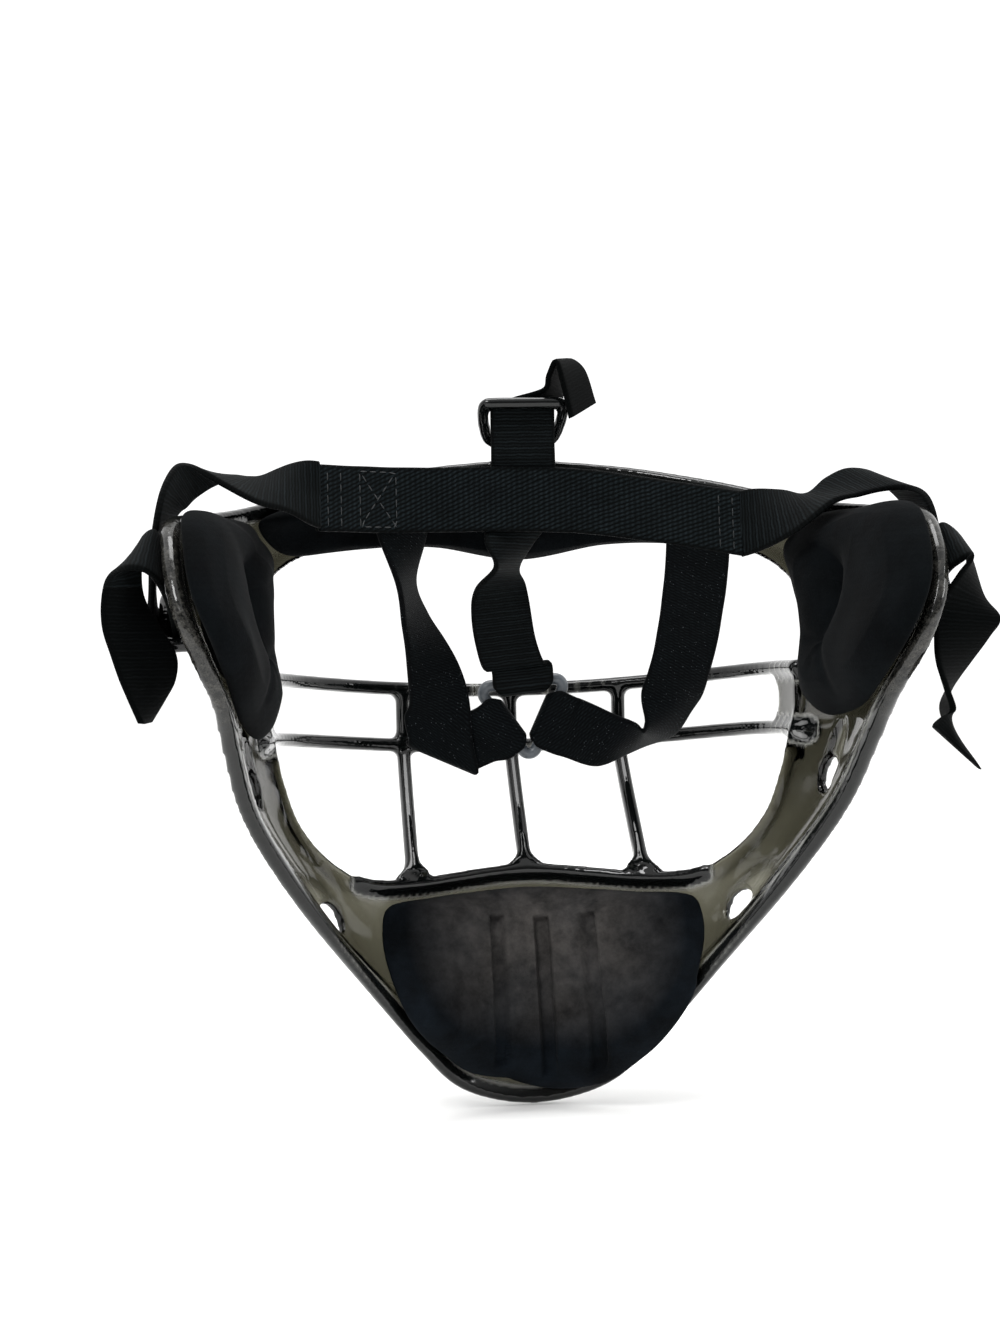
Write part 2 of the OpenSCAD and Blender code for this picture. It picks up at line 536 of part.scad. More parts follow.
left_tail_route = concat(peg_turn(-1, 70, 180, 4), fitted([
    [[-98.6, 3.5, 21], [0, 0.85, 0.53]], [[-100.6, -2, 26.8], [0, 0.85, 0.53]],
    [[-103, -7.5, 30.8], [0.05, 0.8, 0.6]], [[-106.2, -11.5, 30.2], [0.15, 0.85, 0.45]],
    [[-108.7, -13.5, 26], [0.3, 0.92, 0.2]], [[-109.3, -14, 19.5], [0.42, 0.9, 0]],
    [[-107.6, -13.5, 12], [0.66, 0.74, 0]], [[-104.8, -12.5, 5], [0.78, 0.62, 0]],
    [[-104, -11.5, -1], [0.66, 0.74, 0]], [[-104.4, -10.5, -6.5], [0.36, 0.93, 0]],
    [[-105, -10, -12], [0.03, 1, 0]]]));
right_tail_route = concat(peg_turn(1, 70, 180, 4), fitted([
    [[98.6, 3.5, 21], [0, 0.85, 0.53]], [[100.4, -2, 26.5], [0, 0.85, 0.53]],
    [[102.6, -7, 29.6], [0.05, 0.8, 0.6]], [[104.7, -11, 28.5], [0.15, 0.93, 0.3]],
    [[105.8, -11.5, 25], [0.3, 0.93, 0.12]], [[106.6, -9.5, 18], [0.6, 0.75, -0.25]],
    [[105.8, -9.5, 10.5], [0.97, 0.2, -0.1]], [[104.3, -9, 5], [0.9, 0.42, 0]],
    [[101.9, -9, -1.5], [0.68, 0.72, 0]], [[100.3, -9, -8.5], [0.34, 0.94, 0]],
    [[100, -9, -14], [0.16, 0.98, -0.05]], [[100.8, -9, -19.3], [0.5, 0.75, -0.4]],
    [[102.4, -8.5, -23.8], [0.74, 0.25, -0.62]]]));
top_route = concat(fitted([
    [[0, 71.6, 75.7], [1, 0, 0]], [[0, 72.4, 69], [1, 0, 0]], [[0, 74, 56], [1, 0, 0]],
    [[-1.5, 74.4, 44], [1, 0.06, 0]], [[-4.6, 74.2, 36], [0.78, 0.62, 0]],
    [[-4.9, 78.5, 29.5], [0.46, 0.89, 0.05]],
    [[-6.2, 86.5, 23.8], [0.85, 0.5, 0.1]], [[-5.8, 91, 17], [1, 0.2, 0.1]],
    [[-4.2, 96, 8.2], [1, 0.1, 0.1]],
    [[-1.6, 99, 0.5], [1, 0, 0.1]]]), ring_end(90));
top_tail_route = fitted([
    [[0.2, 71.7, 76.9], [1, 0, 0]], [[3.5, 76, 78], [0.9, 0.44, 0]], [[9.6, 76.5, 80.5], [0.42, 0.9, 0]],
    [[9.9, 74.5, 85], [0.28, 0.95, 0.05]], [[12, 72, 89.6], [0.3, 0.93, 0.15]],
    [[15, 70.5, 85], [0.45, 0.83, 0.3]], [[17.6, 69.5, 74.6], [0.5, 0.8, 0.33]]]);
left_drop_route = concat(fitted([
    [[-36.5, 67.6, 54], [1, 0.4, 0]], [[-36.4, 67.8, 46], [1, 0.4, 0]],
    [[-36.3, 70.5, 39.2], [0.78, 0.62, 0]],
    [[-35, 78, 25.7], [0.32, 0.94, 0.1]], [[-32.2, 86, 15], [0.42, 0.88, 0.2]],
    [[-28.8, 92, 6.7], [0.65, 0.72, 0.2]],
    [[-26.1, 96, -1.7], [0.87, 0.45, 0.15]], [[-24.7, 99, -10], [0.97, 0.15, 0.1]],
    [[-25, 100, -18.6], [0.95, 0, -0.3], 1.15], [[-23.6, 100.5, -26.6], [0.911, 0, -0.4125], 1.24],
    [[-23.8, 101.45, -28], [0.911, 0, -0.4125], 1.24], [[-23.4, 102.4, -26.6], [0.911, 0, -0.4125], 1.24],
    [[-15.7, 102.6, -23], [0.78, 0, -0.63], 1.08]]), ring_end(210, -1));
right_drop_route = concat(fitted([
    [[49.5, 62.7, 47], [1, -0.55, 0]], [[49.6, 63.5, 38], [1, -0.55, 0]], [[50.4, 68, 30.2], [1, -0.4, 0]],
    [[50.5, 76, 18.7], [1, -0.3, 0]], [[49.9, 86, 5.4], [1, -0.25, 0]], [[48.5, 91, -2.8], [1, -0.2, 0]],
    [[47.2, 95, -8.9], [1, 0, 0], 1.04], [[46.2, 98, -16], [0.85, 0.5, 0.1]],
    [[43.7, 100, -20.8], [0.62, 0.77, -0.16]],
    [[39.1, 102, -23.1], [0.2, 0.94, -0.27]], [[34.7, 103, -23.6], [-0.08, 0.84, -0.54]],
    [[27.3, 103, -23.8], [-0.28, 0.45, -0.85]], [[17.1, 102, -19.7], [-0.27, 0, -0.96]]]), ring_end(330));

module back_band() { webbing(band_route, steps = 4); }
module left_side_strap() { webbing(left_side_route); }
module right_side_strap() { webbing(right_side_route); }
module left_drop_strap() { webbing(left_drop_route); }
module right_drop_strap() { webbing(right_drop_route); }
module top_strap() { webbing(top_route); }
module top_strap_tail() { webbing(top_tail_route); }
// Where the hook tab is sewn on, as a share of the tail's points, with a small gap
left_tab_from = 0.66;
right_tab_from = 0.51;
tab_gap = 0.01;
module left_strap_tail() { webbing(left_tail_route, 0, left_tab_from - tab_gap); }
module left_hook_tab() { webbing(left_tail_route, left_tab_from, 1); }
module right_strap_tail() { webbing(right_tail_route, 0, right_tab_from - tab_gap); }
module right_hook_tab() { webbing(right_tail_route, right_tab_from, 1); }

face_guard();
brow_patch();
temple_patch(-1);  // left_temple_patch
temple_patch(1);  // right_temple_patch
chin_patch();
brow_pad();
temple_pad(-1);  // left_temple_pad
temple_pad(1);  // right_temple_pad
chin_pad();
left_side_strap();
right_side_strap();
top_strap();
back_band();
left_drop_strap();
right_drop_strap();
harness_ring();
left_strap_tail();
left_hook_tab();
right_strap_tail();
right_hook_tab();
top_strap_tail();
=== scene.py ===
import math

import bpy
import numpy as np
from mathutils import Matrix, Vector, kdtree


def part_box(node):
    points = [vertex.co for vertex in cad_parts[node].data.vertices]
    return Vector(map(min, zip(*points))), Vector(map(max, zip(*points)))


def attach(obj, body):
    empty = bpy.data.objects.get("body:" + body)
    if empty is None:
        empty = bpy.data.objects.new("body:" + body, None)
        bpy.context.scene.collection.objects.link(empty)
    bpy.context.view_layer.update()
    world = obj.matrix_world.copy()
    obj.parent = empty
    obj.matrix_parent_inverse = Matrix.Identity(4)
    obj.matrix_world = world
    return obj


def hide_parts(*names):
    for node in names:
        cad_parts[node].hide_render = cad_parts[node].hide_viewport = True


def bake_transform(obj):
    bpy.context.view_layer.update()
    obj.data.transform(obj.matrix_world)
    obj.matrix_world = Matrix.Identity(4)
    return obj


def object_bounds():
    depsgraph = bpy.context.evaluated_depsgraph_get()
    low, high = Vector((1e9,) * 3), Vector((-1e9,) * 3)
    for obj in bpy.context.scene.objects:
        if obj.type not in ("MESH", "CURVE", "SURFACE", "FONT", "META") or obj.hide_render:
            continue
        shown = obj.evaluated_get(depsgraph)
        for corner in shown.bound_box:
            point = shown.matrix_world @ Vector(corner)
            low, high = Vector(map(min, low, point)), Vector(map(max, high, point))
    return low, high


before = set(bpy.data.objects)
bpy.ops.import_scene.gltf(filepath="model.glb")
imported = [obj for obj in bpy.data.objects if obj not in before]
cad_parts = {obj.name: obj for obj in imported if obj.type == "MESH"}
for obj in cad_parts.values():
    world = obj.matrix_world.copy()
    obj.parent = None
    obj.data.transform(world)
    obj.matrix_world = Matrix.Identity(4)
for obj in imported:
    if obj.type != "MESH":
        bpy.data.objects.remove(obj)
cad_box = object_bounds()

# A fielder's face mask, seen from the wearer's side. Shapes are worked out in
# millimetres, in the frame's own axes, and turned to metres when a mesh is made.
MM = 0.001

# Sizes of the guard, in millimetres
WALL = 3.0
RIM_R = 2.3
RIM_FLARE = 1.6
LIP_R = 2.1
BROW_BULGE, TEMPLE_BULGE, ARM_BULGE, CHIN_BULGE = 2.5, 4.0, 4.0, 7.0
BAR_W, BAR_D = 4.4, 6.0
UPPER_BAR_Z, LOWER_BAR_Z, BAR_RISE = -7.5, -25.5, 5.5
UPRIGHT_PITCH = 34.7
CHIN_RIB_D = 3.6
BAR_TAIL = 12.0
VENT_W, VENT_L = 8.0, 11.0
# Sizes of the webbing, its bars and its ring
WEB_W, WEB_T = 19.0, 1.7
LOOP_BAR_D, WEB_GAP = 4.0, 0.4
RING_D, RING_SIDE = 3.6, 20.0
# Sizes of the pads
PATCH_T, SEAT_GAP = 1.6, 0.4
PAD_EDGE_T = 3.5
BROW_PAD_T, TEMPLE_PAD_T, CHIN_PAD_T = 11.0, 11.0, 15.0
CHANNEL_PITCH, CHANNEL_W, CHANNEL_DEPTH = 12.8, 4.3, 2.8

# The shape points below are laid for a guard this wide, this far forward and this far
# down, and are stretched to the frame's guard
LAID_W, LAID_FRONT, LAID_DOWN = 205.6, 131.9, 130.7
guard_lo, guard_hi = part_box("face_guard")
STRETCH_X = (guard_hi.x - guard_lo.x) / MM / LAID_W
STRETCH_Y = guard_hi.y / MM / LAID_FRONT
STRETCH_DOWN = -guard_lo.z / MM / LAID_DOWN
MASK_W = 204.0 * STRETCH_X
FRONT_REACH = 131.0 * STRETCH_Y
BROW_H = 64.0


def unit(v):
    """Vectors scaled to length one."""
    return v / np.linalg.norm(v, axis=-1, keepdims=True)


def mix(a, b, u):
    """The value a share u of the way from a to b."""
    return a + (b - a) * u


def smoothstep(lo, hi, x):
    """Zero below lo, one above hi, and a smooth cubic between."""
    t = np.clip((x - lo) / (hi - lo), 0, 1)
    return t * t * (3 - 2 * t)


def fit(points):
    """Shape points stretched to the frame's guard."""
    p = np.array(points, float)
    down = np.where(p[..., 2] > 0, 1.0, STRETCH_DOWN)
    return np.stack([p[..., 0] * STRETCH_X, p[..., 1] * STRETCH_Y, p[..., 2] * down], -1)


def curve_at(points, s, closed=False):
    """Catmull-Rom curve: between two points a cubic whose slope at each is half the
    step between that point's neighbours. s counts points along the curve."""
    p = np.asarray(points, float)
    n = len(p)
    s = np.asarray(s, float)
    if closed:
        i = np.floor(s).astype(int)
        a, b, c, d = (p[(i + k) % n] for k in (-1, 0, 1, 2))
    else:
        i = np.clip(np.floor(s), 0, n - 2).astype(int)
        q = np.vstack([2 * p[0] - p[1], p, 2 * p[-1] - p[-2]])
        a, b, c, d = (q[i + k + 1] for k in (-1, 0, 1, 2))
    u = (s - i)[..., None]
    return 0.5 * (2 * b + (c - a) * u + (2 * a - 5 * b + 4 * c - d) * u**2 + (3 * b - a - 3 * c + d) * u**3)


# Outer rim and opening from the middle of the brow, down the right side, to the chin
RIM_HALF = fit([
    [0, 89, 62], [29, 86, 59.5], [54, 75, 54], [76.5, 54, 46.5], [90.5, 28, 42.5],
    [97, 4, 40], [96.8, -11, 31], [94.5, -19.5, 18], [89.5, -20, 5], [85, -11, -7],
    [83, 3, -20], [79.5, 19, -37], [69.5, 34, -57], [54.5, 48, -79.5], [42, 57, -98],
    [32, 65, -112], [20, 75, -125], [0, 80, -130.5]])
LIP_HALF = fit([
    [0, 97, 33.5], [27, 94.5, 38], [49, 86, 37.5], [66, 73, 33], [76, 62, 25],
    [79.5, 56, 14], [80, 53, 4], [79, 54.5, -5], [77, 57, -14], [75, 59.5, -24],
    [73, 61, -33], [68.5, 63, -45], [60.5, 67, -55], [49, 74, -62], [35, 82, -63.5],
    [21, 88, -62.5], [10, 91, -61.5], [0, 92, -61]])
BULGE_HALF = np.array([BROW_BULGE] * 3 + [TEMPLE_BULGE] * 5 + [ARM_BULGE] * 5 + [CHIN_BULGE] * 5)[:, None]
FLIP = np.array([-1.0, 1.0, 1.0])
RIM = np.vstack([RIM_HALF, RIM_HALF[-2:0:-1] * FLIP])
LIP = np.vstack([LIP_HALF, LIP_HALF[-2:0:-1] * FLIP])
BULGE = np.vstack([BULGE_HALF, BULGE_HALF[-2:0:-1]])
LAST = len(RIM_HALF) - 1
STATIONS = len(RIM)


def across(s):
    """From the rim to the opening's edge at station s."""
    return curve_at(LIP, s, True) - curve_at(RIM, s, True)


def outward(s):
    """The wall's direction outwards: square to the way round and the way across."""
    s = np.asarray(s, float)
    step = 0.1
    ahead = curve_at(RIM, s + step, True) + curve_at(LIP, s + step, True)
    behind = curve_at(RIM, s - step, True) + curve_at(LIP, s - step, True)
    return unit(np.cross(ahead - behind, across(s)))


def wall_at(s, a, n):
    """The wall's middle surface, a millimetres in from the rim and n outwards, with a
    bulge that follows half a sine wave from rim to opening."""
    d = across(s)
    wide = np.linalg.norm(d, axis=-1, keepdims=True)
    a = np.asarray(a, float)[..., None]
    n = np.asarray(n, float)[..., None]
    bulge = curve_at(BULGE, s, True) * np.sin(np.pi * np.clip(a / wide, 0, 1))
    return curve_at(RIM, s, True) + d / wide * a + outward(s) * (n + bulge)


def skin(side, s, w, n):
    """The same surface by share w of the way across; side -1 is the wearer's left."""
    s, w, n = np.broadcast_arrays(np.asarray(s, float), w, n)
    wide = np.linalg.norm(across(s), axis=-1)
    return wall_at(s, w * wide, n) * np.array([side, 1.0, 1.0])


def fold_s(s):
    """Stations counted from the brow down either side, whichever side s is on."""
    s = np.asarray(s) % STATIONS
    return np.minimum(s, STATIONS - s)


def grid_faces(rows, cols, wrap_rows, wrap_cols):
    """Quads of a grid of points, joined up in either direction where it wraps."""
    i = np.arange(rows if wrap_rows else rows - 1)[:, None]
    j = np.arange(cols if wrap_cols else cols - 1)[None, :]
    i2, j2 = (i + 1) % rows, (j + 1) % cols
    corners = [i * cols + j, i * cols + j2, i2 * cols + j2, i2 * cols + j]
    return np.stack([np.broadcast_to(c, (i.size, j.size)) for c in corners], -1).reshape(-1, 4)


def mesh_of(name, points, faces, uv=None):
    """A smooth-shaded object at the origin from points in millimetres. faces is a list
    of index lists; uv gives each point's place along and across a strip, in millimetres."""
    mesh = bpy.data.meshes.new(name)
    mesh.from_pydata((np.asarray(points) * MM).tolist(), [], [list(map(int, f)) for f in faces])
    if uv is not None:
        index = np.zeros(len(mesh.loops), np.int32)
        mesh.loops.foreach_get("vertex_index", index)
        layer = mesh.uv_layers.new(name="cloth")
        layer.data.foreach_set("uv", np.asarray(uv, np.float32)[index].ravel())
    mesh.polygons.foreach_set("use_smooth", np.ones(len(mesh.polygons), bool))
    mesh.validate()
    mesh.update()
    obj = bpy.data.objects.new(name, mesh)
    bpy.context.scene.collection.objects.link(obj)
    return obj


def joined(parts):
    """Several (points, faces) shells as one list of points and one of faces."""
    points, faces, base = [], [], 0
    for p, f in parts:
        points.append(p)
        faces += [[base + k for k in face] for face in f]
        base += len(p)
    return np.vstack(points), faces


def facing_out(points, faces):
    """The same shell with its faces turned outwards, told by the sign of its volume."""
    p = np.asarray(points)
    volume = sum(np.dot(p[f[0]], np.cross(p[f[k]], p[f[k + 1]])) for f in faces for k in range(1, len(f) - 1))
    return (points, faces) if volume > 0 else (points, [f[::-1] for f in faces])


def closed_tube(rings, wrap=False):
    """The shell of rings of points joined in order; open ends get a flat cap."""
    rows, cols = rings.shape[:2]
    faces = grid_faces(rows, cols, wrap, True).tolist()
    if not wrap:
        faces.append(list(range(cols))[::-1])
        faces.append([(rows - 1) * cols + k for k in range(cols)])
    return facing_out(rings.reshape(-1, 3), faces)


def oval(w, d):
    """A section between an ellipse and a rectangle: sine and cosine to the power 0.8."""
    q = np.linspace(0, 2 * np.pi, 16, endpoint=False)
    c, e = np.cos(q), np.sin(q)
    return np.stack([w / 2 * np.sign(c) * abs(c) ** 0.8, d / 2 * np.sign(e) * abs(e) ** 0.8], -1)


def bar(path, upward, section, shares=None):
    """A rod through the points of path: the section's first axis lies along upward."""
    t = unit(np.gradient(path, axis=0))
    w = unit(np.broadcast_to(np.asarray(upward, float), path.shape))
    v = unit(np.cross(t, w))
    share = np.ones(len(path)) if shares is None else shares
    around = w[:, None] * section[:, :1] + v[:, None] * section[:, 1:]
    rings = path[:, None] + around * share[:, None, None]
    return closed_tube(rings)


# The guard

# The cross bars' plan: its power, and where its ends lie on the arms
PLAN_POWER = 2.7
BAR_END_X, BAR_END_Y = 77.0 * STRETCH_X, 56.0 * STRETCH_Y


def plan_y(x):
    """Plan of the cross bars: a flattened ellipse with both terms to the power 2.7."""
    depth = FRONT_REACH - BAR_D / 2 - BAR_END_Y
    return BAR_END_Y + depth * np.maximum(1 - (abs(x) / BAR_END_X) ** PLAN_POWER, 0) ** (1 / PLAN_POWER)


def bar_line(x, z):
    """A cross bar's middle line: its plan is the flattened ellipse, and it rises from z
    with the square of x."""
    return np.stack([x, plan_y(x), z + BAR_RISE * (x / BAR_END_X) ** 2], -1)


def cross_bar(z, tail):
    """A cross bar from arm to arm. Its thinner ends run back along the arms by tail."""
    q = np.radians(np.linspace(0, 180, 61))
    x = BAR_END_X * np.sign(np.cos(q)) * abs(np.cos(q)) ** (2 / PLAN_POWER)
    front = bar_line(x, z)
    back = front[0] + (np.array([tail / 7, -tail, 0]) if tail else np.array([0.6, -3.0, 0]))
    run = mix(back, front[0], np.linspace(0, 1, 6)[:-1, None])
    path = np.vstack([run, front, (run * FLIP)[::-1]])
    shares = np.ones(len(path))
    shares[[0, -1]] = 0.45
    shares[[1, -2]] = 0.9
    return bar(path, [0, 0, 1], oval(BAR_W, BAR_D), shares)


def foot(x):
    """Where an upright meets the top of the chin shield."""
    top = LIP_HALF[-1]
    u = abs(x) / (35 * STRETCH_X)
    return np.array([x, mix(top[1], 82 * STRETCH_Y, u * u), top[2] - 1.5 * u])


def upright_path(x):
    """An upright's middle line: through both cross bars and down to the chin shield."""
    y, f = plan_y(x), foot(x)
    drop = LOWER_BAR_Z - f[2]
    points = [[x, y, UPPER_BAR_Z], [x, y + 0.6, (UPPER_BAR_Z + LOWER_BAR_Z) / 2], [x, y, LOWER_BAR_Z],
              [x, mix(y, f[1], 0.25), LOWER_BAR_Z - drop * 0.3],
              [x, mix(y, f[1], 0.62), LOWER_BAR_Z - drop * 0.65], f]
    return curve_at(points, np.linspace(0, 5, 41))


def fillet_web(corner, a, b, thick):
    """A thin web that rounds the corner between two directions a and b: its free edge
    is a quadratic curve pulled towards the corner."""
    u = np.linspace(0, 1, 9)[:, None]
    corner, a, b = (np.asarray(v, float) for v in (corner, a, b))
    edge = (1 - u) ** 2 * (corner + a) + 2 * u * (1 - u) * (corner + 0.12 * (a + b)) + u**2 * (corner + b)
    inner = corner - 0.15 * (a + b) + 0 * edge
    half = unit(np.cross(a, b)) * thick / 2
    rings = np.stack([edge + half, edge - half, inner - half, inner + half], 1)
    rings += (u - 0.5)[:, None] * 1e-3
    return closed_tube(rings)


def bar_webs():
    """Fillets where the uprights meet the cross bars and the chin rib."""
    reach, thick = 3.6, 3.2
    webs = []
    for k in (-1, 0, 1):
        x = k * UPRIGHT_PITCH
        for side in (-1, 1):
            near = bar_line(x + side * reach, 0) - bar_line(x, 0)
            for z, down in ((UPPER_BAR_Z, -1), (LOWER_BAR_Z, 1), (LOWER_BAR_Z, -1)):
                corner = bar_line(x, z) + np.array([side, 0, down]) * BAR_W * 0.35
                webs.append(fillet_web(corner, near, [0, 0, down * reach], thick))
            f = foot(x)
            corner = f + np.array([side * BAR_W * 0.35, 0, CHIN_RIB_D * 0.3])
            away = foot(x + side * reach) - f
            webs.append(fillet_web(corner, away, (upright_path(x)[-6] - f) * 0.8, thick))
    return webs


def bar_plate(z, half, edge):
    """A flat plate that carries on a jaw arm's wall along the cross bars' plan: its rows
    run over half a height each way from z, and edge gives each row's end in degrees."""
    v = np.linspace(-1, 1, 25)[:, None]
    q = np.radians(edge(v[:, 0]))[:, None] * np.linspace(0, 1, 13)
    x = BAR_END_X * np.cos(q) ** (2 / PLAN_POWER)
    sheet = bar_line(x, z + half * v)
    sheet = np.concatenate([sheet[:, :1] + [0.3, -3.0, 0], sheet], 1)
    out = np.array([WALL / 2, 0, 0])
    return closed_tube(np.concatenate([sheet + out, sheet[:, ::-1] - out], 1))


# How far the arms' plates reach round the cross bars' plan, in degrees: between the bars,
# against them and in the middle, and under the lower bar, with that corner's half height
PLATE_AT_BAR, PLATE_AT_MIDDLE, CORNER_REACH, CORNER_HALF = 17.0, 8.5, 16.0, 4.0


def arm_webs():
    """The arms' plates: one between the cross bars, with a round-ended window, and a
    rounded corner under the lower bar. A half and a quarter ellipse give their edges."""
    def window(v):
        return mix(PLATE_AT_BAR, PLATE_AT_MIDDLE, np.sqrt(1 - v**2))

    def corner(v):
        return 0.3 + CORNER_REACH * (1 - np.sqrt(1 - ((1 + v) / 2) ** 2))

    gap = (UPPER_BAR_Z - LOWER_BAR_Z) / 2
    plates = [bar_plate(UPPER_BAR_Z - gap, gap, window),
              bar_plate(LOWER_BAR_Z - CORNER_HALF, CORNER_HALF, corner)]
    return plates + [facing_out(points * FLIP, faces) for points, faces in plates]


def chin_rib():
    """The rib on the chin shield's top edge, with square ends."""
    s = np.linspace(LAST - 4.2, LAST + 4.2, 57)
    path = skin(1, s, 1.0, 0) + np.array([0, -1.2, -0.6])
    return bar(path, [0, 0, 1], oval(CHIN_RIB_D, CHIN_RIB_D))


# The top loop's bar, its half width and its section, off the face and along it
LOOP_Y, LOOP_Z = 68.0 * STRETCH_Y, BROW_H + 12.7
LOOP_HALF = WEB_W / 2 + 2.5
LOOP_SECTION = (5.0, 3.6)


def top_loop():
    """The loop over the brow, a rounded rectangle: in from the brow behind the strap, out
    round a lower corner, up the side and along the bar to the other side."""
    base = wall_at(0.0, RIM_R, RIM_FLARE) + np.array([0, 1.4, 0])
    low = np.array([LOOP_HALF - 3.4, mix(LOOP_Y, base[1], 0.42), mix(LOOP_Z, base[2], 0.6)])
    right = [[LOOP_HALF - 6, base[1], base[2]], [LOOP_HALF - 6, *mix(base, low, 0.8)[1:]],
             [LOOP_HALF - 2.2, low[1] - 0.6, low[2] + 1],
             [LOOP_HALF - 0.4, mix(low[1], LOOP_Y, 0.6), mix(low[2], LOOP_Z, 0.6)],
             [LOOP_HALF - 0.6, LOOP_Y + 0.3, LOOP_Z - 0.5],
             [LOOP_HALF - 4, LOOP_Y, LOOP_Z], [LOOP_HALF / 3, LOOP_Y, LOOP_Z]]
    points = np.array(right + [[-p[0], p[1], p[2]] for p in right[::-1]])
    path = curve_at(points, np.linspace(0, len(points) - 1, 110))
    return bar(path, [0, 1, 0.001], oval(*LOOP_SECTION))


# The temple brackets' leaning bars, and the way their straps pull
PEG_X, PEG_Y, PEG_Z = MASK_W / 2 - 1.2, 9.0 * STRETCH_Y, 13.5
PEG_LEAN = math.radians(58)
PEG_HALF = WEB_W / 2 + 2.6
PEG_AXIS = np.array([0, math.sin(PEG_LEAN), math.cos(PEG_LEAN)])
PEG_PULL = np.array([0, -math.cos(PEG_LEAN), math.sin(PEG_LEAN)])
PEG_TURN_R = LOOP_BAR_D / 2 + WEB_GAP + WEB_T / 2


def peg_at(side, out, along, back):
    """A point by the temple bracket's bar: out from the face, along it, back over it."""
    return np.array([side * (PEG_X + out), PEG_Y, PEG_Z]) + along * PEG_AXIS + back * PEG_PULL


def temple_bracket(side):
    """The leaning bar outside a temple, one rod with its two rounded struts."""
    start, end = skin(side, 5.85, 0.45, 0), skin(side, 7.3, 0.26, 0)
    points = [start, mix(start, peg_at(side, 0, PEG_HALF, 0), 0.6), peg_at(side, 0, PEG_HALF - 1, 0),
              peg_at(side, 0, PEG_HALF / 3, 0), peg_at(side, 0, -PEG_HALF / 3, 0),
              peg_at(side, 0, -PEG_HALF + 1, 0), mix(end, peg_at(side, 0, -PEG_HALF, 0), 0.6), end]
    path = curve_at(points, np.linspace(0, len(points) - 1, 64))
    return bar(path, PEG_PULL, oval(LOOP_BAR_D, LOOP_BAR_D))


# The vents' stations and shares of the way across, on either jaw arm, and the ellipsoid
# that scoops the wall's inside: how far up the arm and under the surface, and its radii
VENT_PLACES = ((10.4, 0.5), (12.8, 0.5))
SCOOP_UP, SCOOP_UNDER, SCOOP_RADII = 7, 1.3, (5.2, 14.0, 2.6)
# The ledge that follows the rim down the jaw arms, in from the rim and proud of the wall
LEDGE_IN, LEDGE_WIDE, LEDGE_HIGH = 8.6, 0.9, 0.7
# The stations over which the ledge starts and ends
LEDGE_FROM, LEDGE_TO = (8.6, 9.6), (15.5, 16.5)


def wall_ring():
    """The moulding's wall: its section is a bead at the rim, the inside face, a bead at
    the opening and the outside face, carried round the ring of stations."""
    s = np.arange(0, STATIONS, 1 / 8)
    wide = np.linalg.norm(across(s), axis=-1)
    q = np.radians(np.arange(90, 271, 18))
    rim_a, rim_n = RIM_R + RIM_R * np.cos(q), RIM_FLARE + RIM_R * np.sin(q)
    q = np.radians(np.arange(-120, 121, 20))
    lip_a, lip_n = -LIP_R + LIP_R * np.cos(q), LIP_R * np.sin(q)
    steps = np.linspace(0.04, 0.96, 34)
    inner = 2 * RIM_R + (wide[:, None] - 2 * RIM_R - 2 * LIP_R) * steps
    jaw = smoothstep(*LEDGE_FROM, fold_s(s)) * (1 - smoothstep(*LEDGE_TO, fold_s(s)))
    ledge = LEDGE_HIGH * np.exp(-((inner - LEDGE_IN) / LEDGE_WIDE) ** 2) * jaw[:, None]
    ones = np.ones((len(s), 1))
    a = np.hstack([rim_a * ones, inner, wide[:, None] + lip_a, inner[:, ::-1]])
    n = np.hstack([rim_n * ones, -WALL / 2 - ledge, lip_n * ones, WALL / 2 + 0 * inner])
    rings = wall_at(np.broadcast_to(s[:, None], a.shape), a, n)
    return closed_tube(rings, wrap=True)


def vent_tool(side, place, scoop):
    """An ellipsoid at a vent: a tall one through the wall, or a shallow scooped one
    that runs up the arm from it."""
    s, w = place
    c = skin(side, s, w, 0)
    n = unit(skin(side, s, w, 1) - c)
    up = unit(skin(side, s - 0.6, w, 0) - c)
    wide = unit(np.cross(n, up))
    q = np.linspace(0, 2 * np.pi, 32, endpoint=False)
    e = np.linspace(0.02, np.pi - 0.02, 16)[:, None]
    if scoop:
        c, radii = c + up * SCOOP_UP - n * (WALL / 2 + SCOOP_UNDER), SCOOP_RADII
    else:
        radii = (VENT_W / 2, VENT_L / 2, 14.0)
    ball = np.stack([np.sin(e) * np.cos(q), np.sin(e) * np.sin(q), np.cos(e) + 0 * q], -1)
    return closed_tube(c + ball * radii @ np.stack([wide, up, n]))


def applied(obj):
    """obj with its modifiers worked into its mesh."""
    bpy.context.view_layer.update()
    graph = bpy.context.evaluated_depsgraph_get()
    mesh = bpy.data.meshes.new_from_object(obj.evaluated_get(graph))
    old = obj.data
    obj.modifiers.clear()
    obj.data = mesh
    mesh.name = obj.name
    bpy.data.meshes.remove(old)
    return obj


def cut_vents(wall):
    """The vents and their scoops taken out of the wall."""
    for scoop in (True, False):
        tools = [vent_tool(side, place, scoop) for side in (-1, 1) for place in VENT_PLACES]
        tool = mesh_of("vent_tool", *joined(tools))
        cut = wall.modifiers.new("vents", "BOOLEAN")
        cut.operation = "DIFFERENCE"
        cut.solver = "EXACT"
        cut.object = tool
        applied(wall)
        bpy.data.objects.remove(tool)
    return wall


# Fineness of the guard's skin, and rounds of smoothing that soften its inside corners
GUARD_VOXEL = 0.86
GUARD_ROUNDS = 5


def set_attribute(obj, name, values):
    """A number for each vertex of obj, which its material reads by name."""
    layer = obj.data.attributes.new(name, "FLOAT", "POINT")
    layer.data.foreach_set("value", np.asarray(values, np.float32))


